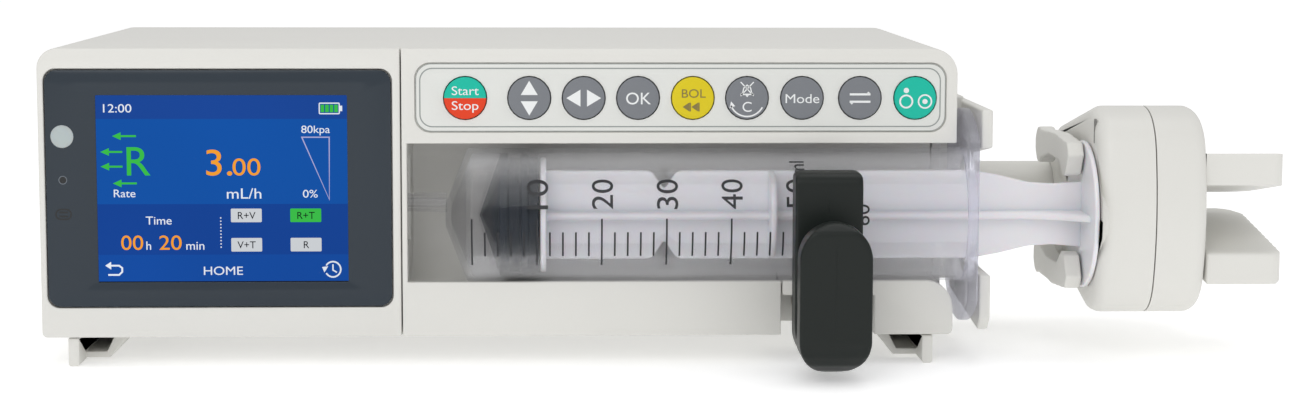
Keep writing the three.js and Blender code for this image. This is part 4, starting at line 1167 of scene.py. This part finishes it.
# ---- Barrel clamp -------------------------------------------------------------------------------
# A black nylon bar holds the barrel down. It bends round at the foot and rises as a thumb tab; it is
# pulled forward and swung aside on a steel shaft that runs back through a bush, spring and collar.
def soft_copy(node, grid, rounds, factor=0.5):
    """The node's shape remeshed on a fine grid and relaxed, so that every edge is softly rounded."""
    bm = copied(node)
    mesh = bpy.data.meshes.new(node + "_soft")
    bm.to_mesh(mesh)
    bm.free()
    carrier = bpy.data.objects.new(node + "_soft", mesh)
    bpy.context.collection.objects.link(carrier)
    remesh = carrier.modifiers.new("remesh", "REMESH")
    remesh.mode, remesh.voxel_size, remesh.adaptivity = "VOXEL", grid, 0.0
    relax = carrier.modifiers.new("relax", "SMOOTH")
    relax.factor, relax.iterations = factor, rounds
    graph = bpy.context.evaluated_depsgraph_get()
    result = bpy.data.meshes.new_from_object(carrier.evaluated_get(graph), depsgraph=graph)
    made = bmesh.new()
    made.from_mesh(result)
    for axis, (low, high) in enumerate(zip(span(node)[0::2], span(node)[1::2])):
        now = [v.co[axis] for v in made.verts]
        bottom, size = min(now), max(now) - min(now)
        for v in made.verts:
            v.co[axis] = low + (v.co[axis] - bottom) * (high - low) / size
    bpy.data.objects.remove(carrier)
    bpy.data.meshes.remove(mesh)
    bpy.data.meshes.remove(result)
    return made


black_nylon = moulded(
    "black_nylon", srgb(15, 22, 19), 0.38, drift=0.1, grain=1500, depth=0.00003, specular_ior_level=0.3
)
bm = soft_copy("clamp_arm", 0.4, 9)
cx0, cx1, cy0, cy1, cz0, cz1 = span("clamp_arm")
clamp_x = (cx0 + cx1) / 2
SEAM_HALF = 0.12
for seam_y, low, high in ((cy0, cz0 + 9, cz1 - 15), (-14.95, 37.5, cz1 - 6)):
    seam = rectangle(clamp_x - SEAM_HALF, clamp_x + SEAM_HALF, low, high, 0.1, 2)
    plate(bm, seam, seam_y - 0.04, seam_y + 0.4, 0.03)
piece("clamp_bar", bm, black_nylon, "clamp", "black_plastic", "clamp_arm", sharp=70)


def metal(name, colour, rough=0.28, along=(1, 1, 1), scale=900, depth=0.000004):
    """Bare metal with fine tool marks, which run along the axis that the scale shrinks."""
    finish = Finish(name, metallic=1.0)
    marks = finish.noise(scale, 3, finish.stretched(along))
    cloud = finish.noise(40, 3)
    finish.bump(marks, depth, 0.5)
    mixed = finish.blend(tinted(colour, 0.86), tinted(colour, 1.08), cloud)
    return finish.paint(mixed, rough - 0.06 + marks * 0.18)


steel_y = metal("ground_steel_shaft", srgb(190, 193, 196), along=(1, 0.05, 1))
brass = metal("turned_brass", srgb(190, 158, 84), 0.3)
CLAMP_Z = 12.0
hy0, hy1 = span("clamp_shaft")[2:4]
BOSS_END = 22.9
shaft = rounded(
    [(hy0, 0), (hy0, 3.8), (BOSS_END, 3.8), (BOSS_END, 2.0), (hy1, 2.0), (hy1, 0)],
    [0, 0.3, 0.3, 0.2, 0.3, 0],
    3,
    closed=False,
)
bm = bmesh.new()
lathe(bm, shaft, clamp_x, CLAMP_Z, axis="y", sides=64)
piece("clamp_shaft_ground", bm, steel_y, "clamp", "steel", "clamp_shaft")

for node, name, material, body, slot, outer, inner in (
    ("clamp_bush", "clamp_bush_turned", brass, "housing", "brass", 4.8, 4.0),
    ("clamp_collar", "clamp_collar_turned", steel_y, "clamp_slider", "steel", 3.4, 2.2),
):
    uy0, uy1 = span(node)[2:4]
    ring = [(uy0, outer), (uy1, outer), (uy1, inner), (uy0, inner)]
    bm = bmesh.new()
    lathe(bm, rounded(ring, 0.15, 2), clamp_x, CLAMP_Z, axis="y", sides=64, loop=True)
    piece(name, bm, material, body, slot, node)


def coil(tree, size):
    """A wire swept along a helix."""
    helix = field(
        tree,
        "GeometryNodeCurveSpiral",
        {
            "Resolution": 32,
            "Rotations": size["Turns"],
            "Start Radius": size["Radius"],
            "End Radius": size["Radius"],
            "Height": size["Length"],
        },
    )
    wire = field(tree, "GeometryNodeCurvePrimitiveCircle", {"Resolution": 10, "Radius": size["Wire"]})
    swept = field(
        tree,
        "GeometryNodeCurveToMesh",
        {"Curve": helix.outputs[0], "Profile Curve": wire.outputs[0], "Fill Caps": True},
    )
    turned = field(
        tree,
        "GeometryNodeTransform",
        {"Geometry": swept.outputs[0], "Rotation": (-math.pi / 2, 0, 0), "Translation": size["Foot"]},
    )
    return turned.outputs[0]


wy0, wy1 = span("clamp_spring")[2:4]
steel_wire = metal("spring_wire", srgb(176, 179, 184), 0.25)
spring = grown(
    "clamp_spring_coil",
    {
        "Turns": 9.0,
        "Radius": 2.9,
        "Length": wy1 - wy0 - 0.8,
        "Wire": 0.35,
        "Foot": (clamp_x, wy0 + 0.4, CLAMP_Z),
        "Material": steel_wire,
    },
    coil,
)
bmesh.ops.recalc_face_normals(spring, faces=spring.faces)
coil_piece = piece(
    "clamp_spring_coil", spring, steel_wire, "housing", "steel", "clamp_spring", sharp=60
)
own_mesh(coil_piece)


# ---- Pusher head --------------------------------------------------------------------------------
# Two moulded shells meet at a fine parting line. The right one carries the fixed grip, the clutch
# lever pivots beside it, and two claws reach over the rim of the thumb disc.
HEAD_EDGE = 3.2
HEAD_RIGHT = 268.7
DISC_SEAT = 16.4  # clear of the recess for the thumb disc
TUBE_Y = 57.0
HUB = 9
CLAW_Y, CLAW_RISE, CLAW_HOLE = 40, 13.8, 3.6
for node, right_end in (("head_left_shell", False), ("head_right_shell", True)):
    face_x = HEAD_RIGHT if right_end else span(node)[0]
    bm = copied(node)

    def on_rim(edge):
        """Edges round the outer face, but not those of its holes and recesses."""
        for v in edge.verts:
            y, z = v.co.y, v.co.z
            hole = math.hypot(y - AXIS_Y, z - AXIS_Z) < DISC_SEAT and y > -4
            hub = math.hypot(y - TUBE_Y, z - AXIS_Z) < HUB
            aside = abs(abs(z - AXIS_Z) - CLAW_RISE)
            pivot = abs(y - CLAW_Y) < CLAW_HOLE and aside < CLAW_HOLE
            grip = right_end and -4 < y < 34 and 36 < z < 52
            if abs(v.co.x - face_x) > 0.01 or hole or hub or pivot or grip:
                return False
        return True

    eased(bm, HEAD_EDGE, 6, 60, on_rim)
    piece(node + "_moulded", bm, casing_white, "pusher", "casing", node, sharp=40)

# A dark plate painted as the shade of a narrow release slot lies on the left face near its upper front
# corner.
lx0 = span("head_left_shell")[0]
slot_painted_shade = moulded("slot_shadow", srgb(120, 119, 116), 0.6)
bm = bmesh.new()
slot_outline = rectangle(1.2, 2.2, 51.5, 57.2, 0.35, 3)
plate(bm, slot_outline, lx0 - 0.03, lx0 + 0.4, 0, "x")
piece("head_release_slot_painted_shade", bm, slot_painted_shade, "pusher", "casing")

for node, body in (("upper_claw", "upper_claw_arm"), ("lower_claw", "lower_claw_arm")):
    bm = soft_copy(node, 0.35, 5)
    piece(node + "_moulded", bm, casing_white, body, "casing", node, sharp=70)
bm = soft_copy("clutch_lever", 0.5, 6)
piece("clutch_lever_moulded", bm, casing_white, "clutch", "casing", "clutch_lever", sharp=70)

steel_x = metal("ground_steel_rod", srgb(190, 193, 196), along=(0.05, 1, 1))
sx0, sx1, sy0, sy1, sz0, sz1 = span("pressure_plate")
sensor_plate = rounded(
    [(sx0, 0), (sx0, 15.2), (sx0 + 1.1, 15.2), (sx0 + 1.1, 2.9), (sx1, 2.9), (sx1, 0)],
    [0, 0.3, 0.3, 0.4, 0.2, 0],
    3,
    closed=False,
)
bm = bmesh.new()
lathe(bm, sensor_plate, AXIS_Y, AXIS_Z, sides=96)
piece("pressure_plate_turned", bm, steel_x, "pusher", "steel", "pressure_plate")

dx0, dx1 = span("drive_tube")[:2]
tube_wall = [(dx0, 8.0), (dx1, 8.0), (dx1, 6.4), (dx0, 6.4)]
bm = bmesh.new()
lathe(bm, rounded(tube_wall, 0.2, 2), TUBE_Y, AXIS_Z, sides=96, loop=True)
piece("drive_tube_drawn", bm, casing_white, "pusher", "casing", "drive_tube")
qx0, qx1 = span("tube_seal")[:2]
black_rubber = moulded("seal_rubber", srgb(38, 40, 42), 0.55, drift=0.1, grain=1200, depth=0.00002)
seal = rounded([(qx0, 10.3), (qx1, 10.3), (qx1, 9.2), (qx1 - 0.5, 8.25), (qx0, 8.25)], 0.15, 2)
bm = bmesh.new()
lathe(bm, seal, TUBE_Y, AXIS_Z, sides=96, loop=True)
piece("tube_seal_ring", bm, black_rubber, "housing", "rubber", "tube_seal")


# ---- Rear fittings ------------------------------------------------------------------------------
# Four pan-head screws hold the housing, each with a dark cross painted on its head as the shade of its
# cross recess; a three-blade mains socket is set in the rear wall. The pump is run from its battery or
# a mains lead, which is not plugged in.
SCREW_HEAD = 2.9
CROSS_ARM, CROSS_HALF = 1.5, 0.32
screw_steel = metal("screw_steel", srgb(168, 171, 175), 0.3)
recess_painted_shade = moulded("screw_recess_painted_shade", srgb(48, 49, 51), 0.6)
for k in range(1, 5):
    node = f"rear_screw_{k}"
    vx0, vx1, vy0, vy1, vz0, vz1 = span(node)
    screw_x, screw_z = (vx0 + vx1) / 2, (vz0 + vz1) / 2
    body_profile = rounded(
        [
            (vy0, 0),
            (vy0 + 0.6, 1.4),
            (vy1 - 0.9, 1.4),
            (vy1 - 0.9, SCREW_HEAD),
            (vy1, SCREW_HEAD - 0.3),
            (vy1, 0),
        ],
        [0, 0.2, 0, 0.1, 0.5, 0],
        4,
        closed=False,
    )
    bm = bmesh.new()
    lathe(bm, body_profile, screw_x, screw_z, axis="y", sides=48)
    # The cross recess is a dark plate on the head: painted shade.
    cross = [
        (screw_x + a * c - b * s, screw_z + a * s + b * c)
        for c, s in ((1, 0), (0, 1), (-1, 0), (0, -1))
        for a, b in ((CROSS_ARM, -CROSS_HALF), (CROSS_ARM, CROSS_HALF), (CROSS_HALF, CROSS_HALF))
    ]
    plate(bm, cross, vy1 - 0.3, vy1 + 0.015, material=1)
    piece(node + "_turned", bm, [screw_steel, recess_painted_shade], "housing", "steel", node)

inlet_black = moulded("inlet_black", srgb(34, 36, 38), 0.42, drift=0.08, grain=1500)
inlet = eased(copied("mains_inlet"), 0.2, 2)
piece("mains_inlet_moulded", inlet, inlet_black, "housing", "black_plastic", "mains_inlet")


# ---- Works inside -------------------------------------------------------------------------------
# A belt from the stepper motor turns the lead screw, which carries the carriage and the tube; boards,
# cells and speaker stand round them. They keep the frame's shapes and gain edges, threads and finish.
def thread(tree, size):
    """Ridges of a thread: a small ring repeated along X."""
    ring = field(
        tree,
        "GeometryNodeMeshCylinder",
        {"Vertices": 40, "Radius": size["Radius"], "Depth": size["Ridge"]},
        fill_type="NGON",
    )
    lying = field(
        tree,
        "GeometryNodeTransform",
        {"Geometry": ring.outputs[0], "Rotation": (0, math.pi / 2, math.radians(3))},
    )
    return row_of(tree, size, lying)


nx0, nx1, ny0, ny1, nz0, nz1 = span("lead_screw")
screw_y, screw_z = (ny0 + ny1) / 2, (nz0 + nz1) / 2
THREAD_PITCH = 2.0
bm = grown(
    "lead_screw_thread",
    {
        "Radius": 4.0,
        "Ridge": 0.9,
        "Count": 58,
        "Start": (nx0 + 12.0, screw_y, screw_z),
        "Pitch": (THREAD_PITCH, 0.0, 0.0),
        "Material": steel_x,
    },
    thread,
)
THREAD_ROOT = 3.7
root = [(nx0, 0), (nx0, THREAD_ROOT), (nx1, THREAD_ROOT), (nx1, 0)]
lathe(bm, rounded(root, [0, 0.3, 0.3, 0], 3, closed=False), screw_y, screw_z, sides=48)
piece("lead_screw_threaded", bm, steel_x, "screw", "steel", "lead_screw")


def board_finish(name):
    """Green solder mask over copper tracks, with dark grey patches."""
    finish = Finish(name, coat_weight=0.3)
    tracks = finish.node("TexBrick", {"Vector": finish.place, "Scale": 260.0, "Mortar Size": 0.06}, out="Fac")
    parts = finish.noise(300, 1).above(0.62)
    mask = finish.blend(srgb(24, 92, 54), srgb(46, 122, 70), tracks)
    finish.bump(tracks, 0.00002, 0.4)
    return finish.paint(finish.blend(mask, srgb(52, 54, 56), parts), 0.35 + parts * 0.2)


board_green = board_finish("solder_mask")
alloy = metal("milled_aluminium", srgb(206, 209, 212), 0.34, along=(1, 0.1, 1))
sleeve_blue = gloss("battery_sleeve_blue", srgb(48, 84, 140), 0.25)
motor_steel = metal("motor_lamination", srgb(150, 152, 156), 0.4, along=(6, 0.2, 0.2), scale=400)
INSIDE = (
    # node, body, material, slot, edge radius
    ("display_board", "housing", board_green, "circuit_board", 0.12),
    ("main_board", "housing", board_green, "circuit_board", 0.12),
    ("power_board", "housing", board_green, "circuit_board", 0.12),
    ("keypad_board", "housing", board_green, "circuit_board", 0.12),
    ("battery_pack", "housing", sleeve_blue, "battery_sleeve", 0.4),
    ("speaker", "housing", inlet_black, "black_plastic", 0.3),
    ("drive_chassis", "housing", alloy, "aluminium", 0.25),
    ("stepper_motor", "housing", motor_steel, "steel", 0.4),
    ("drive_belt", "housing", black_rubber, "rubber", 0.15),
    ("left_screw_bearing", "housing", steel_x, "steel", 0.25),
    ("right_screw_bearing", "housing", steel_x, "steel", 0.25),
    ("guide_rod", "housing", steel_x, "steel", 0.3),
    ("carriage", "pusher", alloy, "aluminium", 0.3),
    ("clutch_rod", "clutch", steel_x, "steel", 0.2),
    ("half_nut", "nut", brass, "brass", 0.2),
    ("motor_pulley", "motor_rotor", alloy, "aluminium", 0.25),
    ("screw_pulley", "screw", alloy, "aluminium", 0.25),
)
for node, body, material, slot, radius in INSIDE:
    piece(node + "_made", eased(copied(node), radius, 2), material, body, slot, node)
